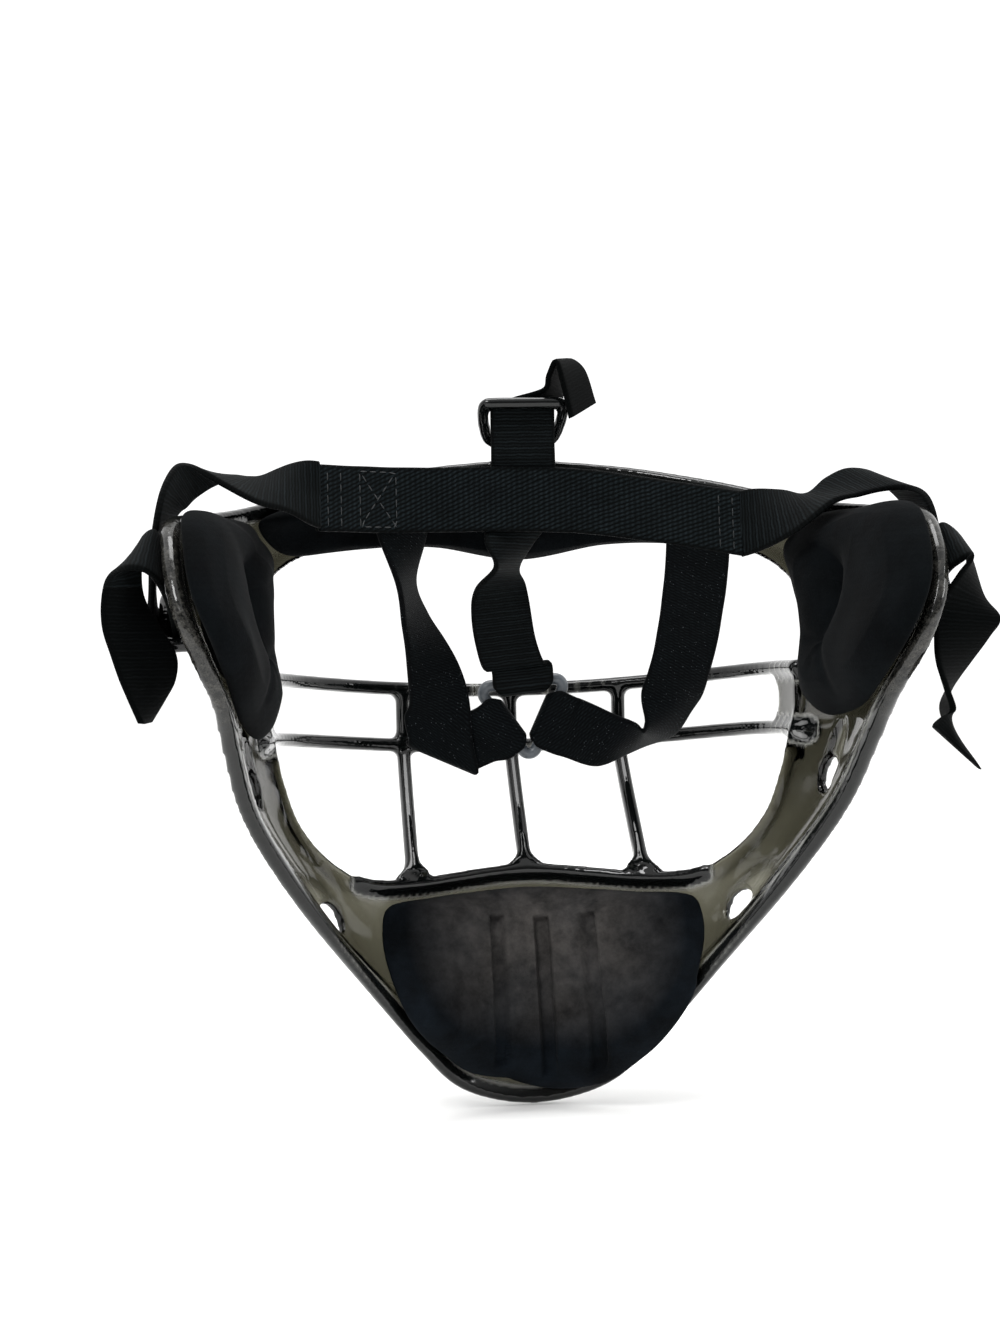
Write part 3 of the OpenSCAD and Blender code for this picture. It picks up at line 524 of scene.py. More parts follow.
def vertices_mm(obj):
    """The places of obj's vertices, in millimetres."""
    co = np.zeros(len(obj.data.vertices) * 3, np.float32)
    obj.data.vertices.foreach_get("co", co)
    return co.reshape(-1, 3).astype(float) / MM


def near_points(points, marks):
    """Each point's distance from the nearest of the marks, and which one that is."""
    tree = kdtree.KDTree(len(marks))
    for k, p in enumerate(marks):
        tree.insert(p, k)
    tree.balance()
    found = [tree.find(p) for p in points]
    return np.array([f[2] for f in found]), np.array([f[1] for f in found])


def rim_distance(points):
    """Each point's distance from the rim's line, and the station nearest to it."""
    s = np.arange(0, STATIONS, 1 / 48)
    near, which = near_points(points, wall_at(s, np.full(len(s), RIM_R), np.full(len(s), RIM_FLARE)))
    return near, s[which]


# Distances from the bars and from the rim's line over which the thick parts' painted shade and
# wear fade out, the stations between which the temples' rims are worn, and how worn they and the rest are
BAR_FADE, RIM_FADE, WEAR_FADE = (1.6, 2.8), (2.7, 4.0), (2.6, 5.4)
WORN_FROM, WORN_TO = (4.6, 5.6), (8.6, 10.2)
TEMPLE_WEAR, REST_WEAR = 0.55, 0.05


def thick_shade_places(guard_points, shells, near_rim):
    """One on the bars, loops and rim bead, where the moulding is thick and its material paints
    shade, and zero on the wall: told by the distance to the nearest point of those shells, or to the rim."""
    near = near_points(guard_points, shells)[0]
    return 1 - np.minimum(smoothstep(*BAR_FADE, near), smoothstep(*RIM_FADE, near_rim))


def worn_places(near_rim, where):
    """Wear that fades with the distance from the rim and is strongest at the temples."""
    s = fold_s(where)
    temple = smoothstep(*WORN_FROM, s) * (1 - smoothstep(*WORN_TO, s))
    return mix(REST_WEAR, TEMPLE_WEAR, temple) * (1 - smoothstep(*WEAR_FADE, near_rim))


def make_guard():
    """The one-piece moulding: wall, bars, ribs and loops run together in one skin."""
    wall = cut_vents(mesh_of("guard_wall", *wall_ring()))
    shells = [cross_bar(UPPER_BAR_Z, 0), cross_bar(LOWER_BAR_Z, BAR_TAIL), chin_rib(), top_loop()]
    shells += [bar(upright_path(k * UPRIGHT_PITCH), [1, 0, 0], oval(BAR_W, BAR_D)) for k in (-1, 0, 1)]
    shells += [temple_bracket(-1), temple_bracket(1)] + bar_webs()
    wall_shell = vertices_mm(wall), [list(p.vertices) for p in wall.data.polygons]
    guard = mesh_of("guard_moulding", *joined([wall_shell] + shells + arm_webs()))
    bpy.data.objects.remove(wall)
    skin_mod = guard.modifiers.new("skin", "REMESH")
    skin_mod.mode = "VOXEL"
    skin_mod.voxel_size = GUARD_VOXEL * MM
    skin_mod.use_smooth_shade = True
    soften = guard.modifiers.new("soften", "SMOOTH")
    soften.factor = 0.5
    soften.iterations = GUARD_ROUNDS
    applied(guard)
    points = vertices_mm(guard)
    near_rim, where = rim_distance(points)
    # The thick attribute carries painted shade: the material turns those places near black and less clear
    set_attribute(guard, "thick", thick_shade_places(points, np.vstack([p for p, f in shells]), near_rim))
    set_attribute(guard, "edge_wear", worn_places(near_rim, where))
    return guard


# Pads and patches

# A pad's back: off the wall's middle, over its patch, and the share of its half over
# which it comes down from the patch to the wall
PAD_SEAT = WALL / 2 + SEAT_GAP
LIFT_MARGIN = 0.25
OVER_PATCH = PATCH_T + SEAT_GAP


def crown(m, edge, top, full):
    """Height that falls from top in the middle to edge, by the power full."""
    return edge + (top - edge) * (1 - m**full)


def pad_shell(side, s_range, w_range, lift, height, corner, keep, turns, rows, round_in=0.08):
    """A closed pad on the wall's inside: rings round its middle go out over the crown,
    round its plump edge and back under it. s_range holds the stations of its first and
    last edge, each at the low and the high end; w_range holds its low and high edge, each
    as pairs of a place along the pad and a share. height takes a and b, from -1 to 1."""
    q = np.linspace(0, 2 * np.pi, turns, endpoint=False)
    c, e = np.cos(q), np.sin(q)
    square = np.stack([c, e]) / np.maximum(abs(c), abs(e))
    soft = np.stack([c, e]) / (abs(c) ** corner + abs(e) ** corner) ** (1 / corner)
    bend = np.radians(np.linspace(0, 180, 15))
    flat = np.linspace(0.012, 1 - round_in, rows)
    m = np.concatenate([flat, 1 - round_in + round_in * np.sin(bend[1:-1]), flat[::-1]])
    f = np.concatenate([np.ones(rows), 0.5 + 0.5 * np.cos(bend[1:-1]), np.zeros(rows)])
    a, b = m[:, None] * square[0], m[:, None] * square[1]
    x, y = m[:, None] * soft[0], m[:, None] * soft[1]
    first, last = (mix(edge[0], edge[1], (y + 1) / 2) for edge in s_range)
    s = mix(first, last, (x + 1) / 2)
    wide = np.linalg.norm(across(s), axis=-1)
    low, high = (np.interp(x, *np.transpose(edge)) for edge in w_range)
    w = mix(low, np.minimum(high, 1 - keep / wide), (y + 1) / 2)
    inner = np.minimum((1 - np.maximum(abs(a), abs(b))) / LIFT_MARGIN, 1)
    h = f[:, None] * height(a, b, s, w)
    rings = skin(side, s, w, -PAD_SEAT - lift * inner - h)
    return closed_tube(rings)


def brow_height(a, b, s, w):
    """A flat crown that thins towards its ends, with faint ripples of two sine waves."""
    m = np.maximum(abs(a), abs(b))
    top = BROW_PAD_T * (1 - 0.35 * abs(a) ** 4)
    ripple = 0.35 * np.sin(9 * a + 2.5 * b) * np.sin(5 * b + 3 * a) * (1 - m**6)
    return crown(m, PAD_EDGE_T, top, 4) + ripple


def temple_height(side):
    """A thick roll round a deep hollow with a slit in it, and a fold that runs off its
    lower end: each is a bell curve of the distance from a slanted line."""
    def height(a, b, s, w):
        m = np.maximum(abs(a), abs(b))
        hollow = np.exp(-((b - 0.25 - 0.25 * a) / 0.2) ** 2) * np.exp(-((a + 0.22) / 0.46) ** 2)
        slit = np.exp(-((b - 0.28 - 0.3 * a) / 0.055) ** 2) * np.exp(-((a + 0.05) / 0.36) ** 2)
        line = b - 0.55 + 0.9 * (a - 0.25)
        fold = np.exp(-(line / 0.08) ** 2) * smoothstep(-0.1, 0.3, a) * (1 - smoothstep(0.7, 0.95, m))
        ripple = 0.25 * np.sin(6 * a + 4 * b * side) * (1 - m**6)
        h = crown(m, PAD_EDGE_T, TEMPLE_PAD_T, 3.5) + ripple
        return h - 0.62 * (TEMPLE_PAD_T - PAD_EDGE_T) * hollow - 2.2 * slit - 0.8 * fold

    return height


BROW_ENDS = ((-3.25, -3.35), (3.25, 3.35))
BROW_LOW = [(-1, 0.03), (1, 0.03)]
BROW_HIGH = [(-1, 1.2), (-0.9, 1.15), (-0.75, 1.03), (-0.5, 1.04), (-0.25, 1.08), (-0.12, 1.15), (0.05, 1.17),
             (0.12, 1.06), (0.2, 1.0), (0.5, 1.05), (0.75, 1.07), (0.9, 1.06), (1, 1.2)]
TEMPLE_LOW = [(-1, -0.04), (1, -0.04)]
LEFT_ENDS = ((3.35, 3.43), (8.9, 9.2))
LEFT_HIGH = [(-1, 0.99), (-0.4, 0.95), (0.4, 0.93), (1, 0.86)]
RIGHT_ENDS = ((3.35, 3.43), (9.4, 8.7))
RIGHT_HIGH = [(-1, 0.97), (-0.4, 0.94), (0.4, 0.93), (0.75, 0.9), (1, 0.84)]
CHIN_ENDS = ((LAST - 3.35, LAST - 3.8), (LAST + 2.95, LAST + 3.5))
CHIN_LOW = [(-1, -0.13), (-0.6, -0.06), (-0.2, 0.02), (0.2, 0.1), (0.6, 0.05), (1, -0.03)]
CHIN_HIGH = [(-1, 0.98), (-0.5, 0.95), (0, 0.91), (0.5, 0.97), (1, 1.02)]
# The middle channel's place, and where the channels' slant to the right starts and the
# height over which it grows
CHANNEL_MID = 2.6
SLANT_FROM_Z, SLANT_H = -66, 50


def chin_height(a, b, s, w):
    """A full crown with three pressed channels: flat floors between steep sides."""
    m = np.maximum(abs(a), abs(b))
    p = skin(1, s, w, -PAD_SEAT - OVER_PATCH - crown(m, PAD_EDGE_T, CHIN_PAD_T, 3))
    down = np.clip((SLANT_FROM_Z - p[..., 2]) / SLANT_H, 0, 1)
    groove = np.zeros_like(a)
    for k in (-1, 0, 1):
        middle = CHANNEL_MID + k * CHANNEL_PITCH + (0.4 + 1.4 * (k + 1) / 2) * down
        near = abs(p[..., 0] - middle)
        ends = smoothstep(-0.93, -0.8, b) * (1 - smoothstep(0.66, 0.7, b))
        groove = np.maximum(groove, (1 - smoothstep(CHANNEL_W / 2 - 0.7, CHANNEL_W / 2 + 0.3, near)) * ends)
    return crown(m, PAD_EDGE_T, CHIN_PAD_T, 3) - CHANNEL_DEPTH * groove


def flat_patch(a, b, s, w):
    """The same height everywhere."""
    return PATCH_T + 0 * a


# Each pad: node, name, side, its edges, height, corner, distance kept to the opening's
# edge, and how many points go round it
PADS = [
    ("brow_pad", "brow_pad_foam", 1, BROW_ENDS, (BROW_LOW, BROW_HIGH), brow_height, 5.0, 0.0, 220),
    ("left_temple_pad", "left_temple_foam", -1, LEFT_ENDS, (TEMPLE_LOW, LEFT_HIGH), temple_height(-1),
     3.4, 0.0, 200),
    ("right_temple_pad", "right_temple_foam", 1, RIGHT_ENDS, (TEMPLE_LOW, RIGHT_HIGH), temple_height(1),
     3.4, 0.0, 200),
    ("chin_pad", "chin_pad_foam", 1, CHIN_ENDS, (CHIN_LOW, CHIN_HIGH), chin_height, 11.0, 2 * LIP_R + 2, 360)]


# Webbing

# Steps between two points of a route, a strip's step along its length, and how far its
# edges wave, in millimetres
ROUTE_STEPS = 9
STRIP_STEP = 0.8
EDGE_WAVE = 0.12
# A stitch's length, the gap to the next, its thickness and its middle's height above
# the webbing
STITCH_L, STITCH_GAP, STITCH_D, STITCH_LIFT = 2.3, 0.9, 0.42, 0.02


def lengths(points):
    """The length along a line of points up to each of them."""
    return np.concatenate([[0], np.cumsum(np.linalg.norm(np.diff(points, axis=0), axis=1))])


def pick(at, steps, values):
    """Rows in between those of values, which belong to steps, on straight lines."""
    return np.stack([np.interp(at, steps, column) for column in values.T], -1)


class Ribbon:
    """A flat strip along a route. Each row of the route is a point, the direction of the
    width there and, where the strip is bunched, its share of the full width."""

    def __init__(self, route, first=0.0, last=1.0):
        points = np.array([r[0] for r in route], float)
        ways = np.array([r[1] for r in route], float)
        shares = np.array([[r[2] if len(r) > 2 else 1.0] for r in route])
        n = len(route) - 1
        s = np.linspace(n * first, n * last, max(int(n * ROUTE_STEPS * (last - first)), 8) + 1)
        self.centre = curve_at(points, s)
        self.way = unit(curve_at(ways, s))
        self.share = curve_at(shares, s)
        self.face = unit(np.cross(np.gradient(self.centre, axis=0), self.way))
        self.along = lengths(self.centre)

    def at(self, along, v, lift):
        """Points at a length along, v millimetres across and lift off the middle."""
        centre, way, share, face = (pick(along, self.along, values) for values in
                                    (self.centre, self.way, self.share, self.face))
        return centre + way * share * v[..., None] + face * lift[..., None]


def strip_section(width, thick):
    """A flat strip with half-round edges: across and height of each point."""
    r = thick / 2
    flat = np.linspace(-width / 2 + r, width / 2 - r, 15)
    q = np.radians(np.linspace(90, -90, 7))[1:-1]
    edge = width / 2 - r + r * np.cos(q)
    x = np.concatenate([flat, edge, flat[::-1], -edge[::-1]])
    y = np.concatenate([r + 0 * flat, r * np.sin(q), -r + 0 * flat, r * np.sin(q[::-1])])
    return x, y


def strip(name, ribbon, thick=WEB_T, offset=0.0, narrow=0.0, start=0.0, end=None):
    """The strip's mesh, closed at both ends: its section carried along the ribbon from
    start to end, offset from its middle and narrower by narrow, with a slow wave in the
    width of its edges. Its map is in millimetres along and across."""
    end = ribbon.along[-1] if end is None else end
    along = np.linspace(start, end, max(int((end - start) / STRIP_STEP), 8))
    x, y = strip_section(WEB_W - narrow, thick)
    edge = 1 + EDGE_WAVE / WEB_W * np.sin(along / 3.1 + 2) * np.sin(along / 7.7)
    grid_u = np.broadcast_to(along[:, None], (len(along), len(x)))
    across_v = edge[:, None] * x
    rings = ribbon.at(grid_u, across_v, y[None, :] + offset + 0 * grid_u)
    points, faces = closed_tube(rings)
    uv = np.stack([grid_u, across_v], -1).reshape(-1, 2)
    return mesh_of(name, points, faces, uv)


def stitch_rows(name, rows):
    """Sewing thread: each stitch is a small ellipsoid laid along a row, half sunk in the
    webbing. A row is a list of points and the face's direction there."""
    q = np.linspace(0, 2 * np.pi, 6, endpoint=False)
    e = np.linspace(0.15, np.pi - 0.15, 5)[:, None]
    ball = np.stack([-np.cos(e) + 0 * q, np.sin(e) * np.cos(q), np.sin(e) * np.sin(q)], -1)
    parts = []
    for points, face in rows:
        steps = lengths(points)
        for middle in np.arange(STITCH_L / 2, steps[-1] - STITCH_L / 3, STITCH_L + STITCH_GAP):
            ends = [pick(middle + d, steps, points) for d in (-STITCH_L / 2, STITCH_L / 2)]
            up = unit(pick(middle, steps, face))
            t = unit(ends[1] - ends[0])
            side = unit(np.cross(up, t))
            axes = np.stack([t * STITCH_L / 2, side * STITCH_D / 2, np.cross(t, side) * STITCH_D / 2])
            parts.append(closed_tube((ends[0] + ends[1]) / 2 + ball @ axes))
    return mesh_of(name, *joined(parts))


def sewn(ribbon, corners, face):
    """A row of stitches on a strip's face, which is 1 or -1, through corners, each a
    length along and a distance across."""
    corners = np.array(corners, float)
    steps = lengths(corners)
    u = np.linspace(0, steps[-1], max(int(steps[-1] / 0.6), 2))
    along, across_v = pick(u, steps, corners).T
    lift = np.full(len(u), face * (WEB_T / 2 + STITCH_LIFT))
    points = ribbon.at(along, across_v, lift)
    return points, ribbon.at(along, across_v, lift + face) - points


# The ring's middle, its tilt in degrees, its round corners, and the straps' turn round
# its wire, where they are bunched by this share of their width
RING_PLACE = fit([2.3, 104, -13.2])
RING_TILT = 5.0
RING_CORNER_R = RING_D / 2 + 0.6
RING_OUT = RING_SIDE / math.sqrt(3)
RING_BUNCH = 0.28
RING_TURN_R = RING_D / 2 + WEB_GAP + WEB_T / 2


def ring_end(q, way=1):
    """A strap's end turned round the ring's side that faces the direction q, bunched
    where it passes inside the ring; way turns its width's direction about."""
    a = math.radians(q + RING_TILT)
    out = np.array([math.cos(a), 0, math.sin(a)])
    side = way * np.array([math.sin(a), 0, -math.cos(a)])
    middle = RING_PLACE + (RING_OUT / 2 + RING_CORNER_R) * out
    rows = []
    for e in range(-30, 181, 30):
        turn = math.radians(max(e, 0))
        reach = 5 if e < 0 else -RING_TURN_R * math.sin(turn)
        point = middle + reach * out - np.array([0, RING_TURN_R * math.cos(turn), 0])
        rows.append([point, side, 1 - RING_BUNCH * math.sin(turn) ** 2])
    return rows


def peg_turn(side, q0, q1, n):
    """The strap's turn round a temple bracket's bar, between two angles."""
    q = np.radians(np.linspace(q0, q1, n + 1))
    return [[peg_at(side, PEG_TURN_R * math.cos(t), 0, -PEG_TURN_R * math.sin(t)), PEG_AXIS] for t in q]


def fitted(rows):
    """A route from rows of a point, a direction of the width and, where the strip is
    bunched, a share of its width: its points are stretched to the frame's guard."""
    return [[fit(r[:3]), r[3:6], *r[6:]] for r in rows]


BAND_ROUTE = fitted([
    (-60.5, 52, 48.6, 0, 0, 1), (-37, 65, 48.7, 0, 0, 1), (-7, 70, 49, 0, 0, 1), (17, 70, 48, 0, 0, 1),
    (32, 67, 45.7, 0, 0.05, 1), (46, 61.5, 43, 0, 0.1, 1), (60.5, 51.1, 39.4, 0, 0.1, 1)])
LEFT_SIDE_ROUTE = fitted([
    (-60.2, 51.5, 49.4, 0, 0, 1), (-68.3, 46.8, 50.9, 0, 0.6, 0.75), (-76.5, 41, 50.4, 0.1, 0.85, 0.45),
    (-82.5, 35.5, 51.8, 0.3, 0.93, 0.2), (-87, 31, 53, 0.32, 0.94, 0.05),
    (-91.7, 26.5, 52.9, 0.27, 0.92, -0.2), (-95.5, 22, 50.8, 0.2, 0.9, -0.35),
    (-98, 17.5, 47, 0.2, 0.93, -0.27), (-100, 14.5, 42.5, 0.19, 0.98, 0),
    (-102.4, 12, 34, 0.1, 0.95, 0.3), (-103.6, 9, 24, 0, 0.9, 0.43)]) \
    + [[peg_at(-1, PEG_TURN_R, 0, 5), PEG_AXIS]] + peg_turn(-1, 0, 54, 3)
RIGHT_SIDE_ROUTE = fitted([
    (60.2, 51, 39.3, 0, 0, 1), (71.5, 42.5, 42, 0, 0.7, 0.7), (79.2, 36.5, 45, -0.15, 0.97, 0.2),
    (84.8, 32, 47.8, -0.25, 0.9, 0.32), (90, 27.5, 49.4, -0.3, 0.86, 0.38),
    (94.8, 22.5, 48.6, -0.25, 0.9, 0.3), (98.6, 18, 45.4, -0.2, 0.95, 0.15),
    (101, 14.5, 40.5, -0.1, 0.97, 0.15), (103, 12, 33, 0, 0.93, 0.35), (103.8, 9, 24, 0, 0.88, 0.45)]) \
    + [[peg_at(1, PEG_TURN_R, 0, 5), PEG_AXIS]] + peg_turn(1, 0, 54, 3)
LEFT_TAIL_ROUTE = peg_turn(-1, 57, 180, 5) + fitted([
    (-98.6, 3.5, 21, 0, 0.85, 0.53), (-100.6, -2, 26.8, 0, 0.85, 0.53),
    (-103, -7.5, 30.8, 0.05, 0.8, 0.6), (-106.2, -11.5, 30.2, 0.15, 0.85, 0.45),
    (-108.7, -13.5, 26, 0.3, 0.92, 0.2), (-109.3, -14, 19.5, 0.42, 0.9, 0),
    (-107.6, -13.5, 12, 0.66, 0.74, 0), (-104.8, -12.5, 5, 0.78, 0.62, 0),
    (-104, -11.5, -1, 0.66, 0.74, 0), (-104.4, -10.5, -6.5, 0.36, 0.93, 0), (-105, -10, -12, 0.03, 1, 0)])
RIGHT_TAIL_ROUTE = peg_turn(1, 57, 180, 5) + fitted([
    (98.6, 3.5, 21, 0, 0.85, 0.53), (100.4, -2, 26.5, 0, 0.85, 0.53), (102.6, -7, 29.6, 0.05, 0.8, 0.6),
    (104.7, -11, 28.5, 0.15, 0.93, 0.3), (105.8, -11.5, 25, 0.3, 0.93, 0.12),
    (106.6, -9.5, 18, 0.6, 0.75, -0.25), (105.8, -9.5, 10.5, 0.97, 0.2, -0.1),
    (104.3, -9, 5, 0.9, 0.42, 0), (101.9, -9, -1.5, 0.68, 0.72, 0), (100.3, -9, -8.5, 0.34, 0.94, 0),
    (100, -9, -14, 0.16, 0.98, -0.05), (100.8, -9, -19.3, 0.5, 0.75, -0.4),
    (102.4, -8.5, -23.8, 0.74, 0.25, -0.62)])
TOP_ROUTE = fitted([
    (0, 71.6, 75.7, 1, 0, 0), (0, 72.4, 69, 1, 0, 0), (0, 74, 56, 1, 0, 0),
    (-1.5, 74.4, 44, 1, 0.06, 0), (-4.6, 74.2, 36, 0.78, 0.62, 0), (-4.9, 78.5, 29.5, 0.46, 0.89, 0.05),
    (-6.2, 86.5, 23.8, 0.85, 0.5, 0.1), (-5.8, 91, 17, 1, 0.2, 0.1), (-4.2, 96, 8.2, 1, 0.1, 0.1),
    (-1.6, 99, 0.5, 1, 0, 0.1)]) + ring_end(90)
TOP_TAIL_ROUTE = fitted([
    (0.2, 71.7, 76.9, 1, 0, 0), (3.5, 76, 78, 0.9, 0.44, 0), (9.6, 76.5, 80.5, 0.42, 0.9, 0),
    (9.9, 74.5, 85, 0.28, 0.95, 0.05), (12, 72, 89.6, 0.3, 0.93, 0.15), (15, 70.5, 85, 0.45, 0.83, 0.3),
    (17.6, 69.5, 74.6, 0.5, 0.8, 0.33)])
LEFT_DROP_ROUTE = fitted([
    (-36.5, 67.6, 54, 1, 0.4, 0), (-36.4, 67.8, 46, 1, 0.4, 0), (-36.3, 70.5, 39.2, 0.78, 0.62, 0),
    (-35, 78, 25.7, 0.32, 0.94, 0.1), (-32.2, 86, 15, 0.42, 0.88, 0.2),
    (-28.8, 92, 6.7, 0.65, 0.72, 0.2), (-26.1, 96, -1.7, 0.87, 0.45, 0.15),
    (-24.7, 99, -10, 0.97, 0.15, 0.1), (-25, 100, -18.6, 0.95, 0, -0.3, 1.15),
    (-23.6, 100.5, -26.6, 0.911, 0, -0.4125, 1.24), (-23.8, 101.45, -28, 0.911, 0, -0.4125, 1.24),
    (-23.4, 102.4, -26.6, 0.911, 0, -0.4125, 1.24), (-15.7, 102.6, -23, 0.78, 0, -0.63, 1.08)]) \
    + ring_end(210, -1)
RIGHT_DROP_ROUTE = fitted([
    (49.5, 62.7, 47, 1, -0.55, 0), (49.6, 63.5, 38, 1, -0.55, 0), (50.4, 68, 30.2, 1, -0.4, 0),
    (50.5, 76, 18.7, 1, -0.3, 0), (49.9, 86, 5.4, 1, -0.25, 0), (48.5, 91, -2.8, 1, -0.2, 0),
    (47.2, 95, -8.9, 1, 0, 0, 1.04), (46.2, 98, -16, 0.85, 0.5, 0.1),
    (43.7, 100, -20.8, 0.62, 0.77, -0.16), (39.1, 102, -23.1, 0.2, 0.94, -0.27),
    (34.7, 103, -23.6, -0.08, 0.84, -0.54), (27.3, 103, -23.8, -0.28, 0.45, -0.85),
    (17.1, 102, -19.7, -0.27, 0, -0.96)]) + ring_end(330)
# The share of a loose end's route at which its hook tab starts
LEFT_TAB_FROM, RIGHT_TAB_FROM = 0.67, 0.53


def make_ring():
    """The three-sided ring: a round wire along three straight sides and round corners."""
    wire = []
    for q in (30, 150, 270):
        for e in np.linspace(-60, 60, 13):
            wire.append([math.radians(q), math.radians(q + e)])
    wire = np.array(wire)
    f = np.linspace(0, 2 * np.pi, 24, endpoint=False)
    reach = RING_CORNER_R + RING_D / 2 * np.cos(f)
    x = RING_OUT * np.cos(wire[:, :1]) + reach * np.cos(wire[:, 1:])
    z = RING_OUT * np.sin(wire[:, :1]) + reach * np.sin(wire[:, 1:])
    y = RING_D / 2 * np.sin(f) + 0 * x
    c, s = math.cos(math.radians(RING_TILT)), math.sin(math.radians(RING_TILT))
    rings = np.stack([x * c - z * s, y, x * s + z * c], -1)
    return mesh_of("harness_ring_moulding", *closed_tube(rings + RING_PLACE, wrap=True))


# Materials

# A pattern on object coordinates has the scale PER_MM over the size of its features in
# millimetres. A strip's own map is in millimetres, so there it is one over that size.
PER_MM = 1 / MM


def srgb(code):
    """A hex colour as linear values."""
    v = np.array([int(code[k:k + 2], 16) / 255 for k in (1, 3, 5)])
    linear = np.where(v <= 0.04045, v / 12.92, ((v + 0.055) / 1.055) ** 2.4)
    return (*linear.tolist(), 1.0)


def add(tree, kind, inputs=(), **settings):
    """Adds a shader node with its settings. Its inputs, by place or name, are filled with a
    value or linked to a socket or to the first output in use of another node."""
    made = tree.nodes.new("ShaderNode" + kind)
    for name, value in settings.items():
        setattr(made, name, value)
    for key, value in (inputs.items() if isinstance(inputs, dict) else enumerate(inputs)):
        if isinstance(value, bpy.types.Node):
            value = next(socket for socket in value.outputs if socket.enabled)
        if isinstance(value, bpy.types.NodeSocket):
            tree.links.new(value, made.inputs[key])
        else:
            made.inputs[key].default_value = value
    return made


def new_material(name):
    """An empty material and its node tree."""
    material = bpy.data.materials.new(name)
    material.use_nodes = True
    material.node_tree.nodes.clear()
    return material, material.node_tree


def smoke_polycarbonate():
    """Injection-moulded polycarbonate with a smoke-grey tint: clear and glossy, so thin
    walls show olive grey. Bars, loops and the rim's bead, marked by the thick attribute,
    carry painted shade: their colour is mixed to near black and their clearness cut, for
    the light that thick tinted plastic swallows. The worn rims, marked by edge_wear, have
    frosted scuffs. The IOR is lowered from 1.58, which shone more than the object does."""
    material, tree = new_material("smoke_polycarbonate")
    place = add(tree, "TexCoord").outputs["Object"]
    wear = add(tree, "Attribute", attribute_name="edge_wear").outputs["Fac"]
    thick = add(tree, "Attribute", attribute_name="thick").outputs["Fac"]
    blotch = add(tree, "TexNoise", {
        "Vector": place, "Scale": PER_MM / 4.5, "Detail": 6.0, "Roughness": 0.7})
    grit = add(tree, "TexNoise", {"Vector": place, "Scale": PER_MM / 0.9, "Detail": 3.0, "Roughness": 0.8})
    worn = add(tree, "Math", [blotch, grit], operation="MULTIPLY")
    worn = add(tree, "MapRange", {"Value": worn, "From Min": 0.17, "From Max": 0.42})
    scuff = add(tree, "Math", [wear, worn], operation="MULTIPLY", use_clamp=True)
    # Painted shade: thick places are mixed to near black, standing in for the light that thick tinted plastic
    # swallows
    body = add(tree, "Mix", {"Factor": thick, "A": srgb("#e3e3dc"), "B": srgb("#0b0d0d")}, data_type="RGBA")
    tint = add(tree, "Mix", {"Factor": scuff, "A": body, "B": srgb("#56544f")}, data_type="RGBA")
    smear = add(tree, "TexNoise", {"Vector": place, "Scale": PER_MM / 18, "Detail": 4.0})
    haze = add(tree, "MapRange", {
        "Value": smear, "From Min": 0.4, "From Max": 0.75, "To Min": 0.05, "To Max": 0.13})
    rough = add(tree, "Math", [scuff, 0.5, haze], operation="MULTIPLY_ADD")
    clear = add(tree, "Math", [scuff, -0.75, 1.0], operation="MULTIPLY_ADD")
    # Painted shade: thick places are made less clear, so they read as dark solid plastic
    clear = add(tree, "Math", [thick, -0.8, clear], operation="MULTIPLY_ADD", use_clamp=True)
    ripple = add(tree, "TexNoise", {"Vector": place, "Scale": PER_MM / 12, "Detail": 1.0})
    wavy = add(tree, "Bump", {"Strength": 0.12, "Distance": 0.5 * MM, "Height": ripple})
    pitted = add(tree, "Bump", {"Strength": scuff, "Distance": 0.07 * MM, "Height": grit, "Normal": wavy})
    shell = add(tree, "BsdfPrincipled", {
        "Base Color": tint, "Roughness": rough, "IOR": 1.4, "Transmission Weight": clear, "Normal": pitted})
    depth = add(tree, "VolumeAbsorption", {"Color": srgb("#85826c"), "Density": 1080.0})
    add(tree, "OutputMaterial", {"Surface": shell, "Volume": depth})
    return material


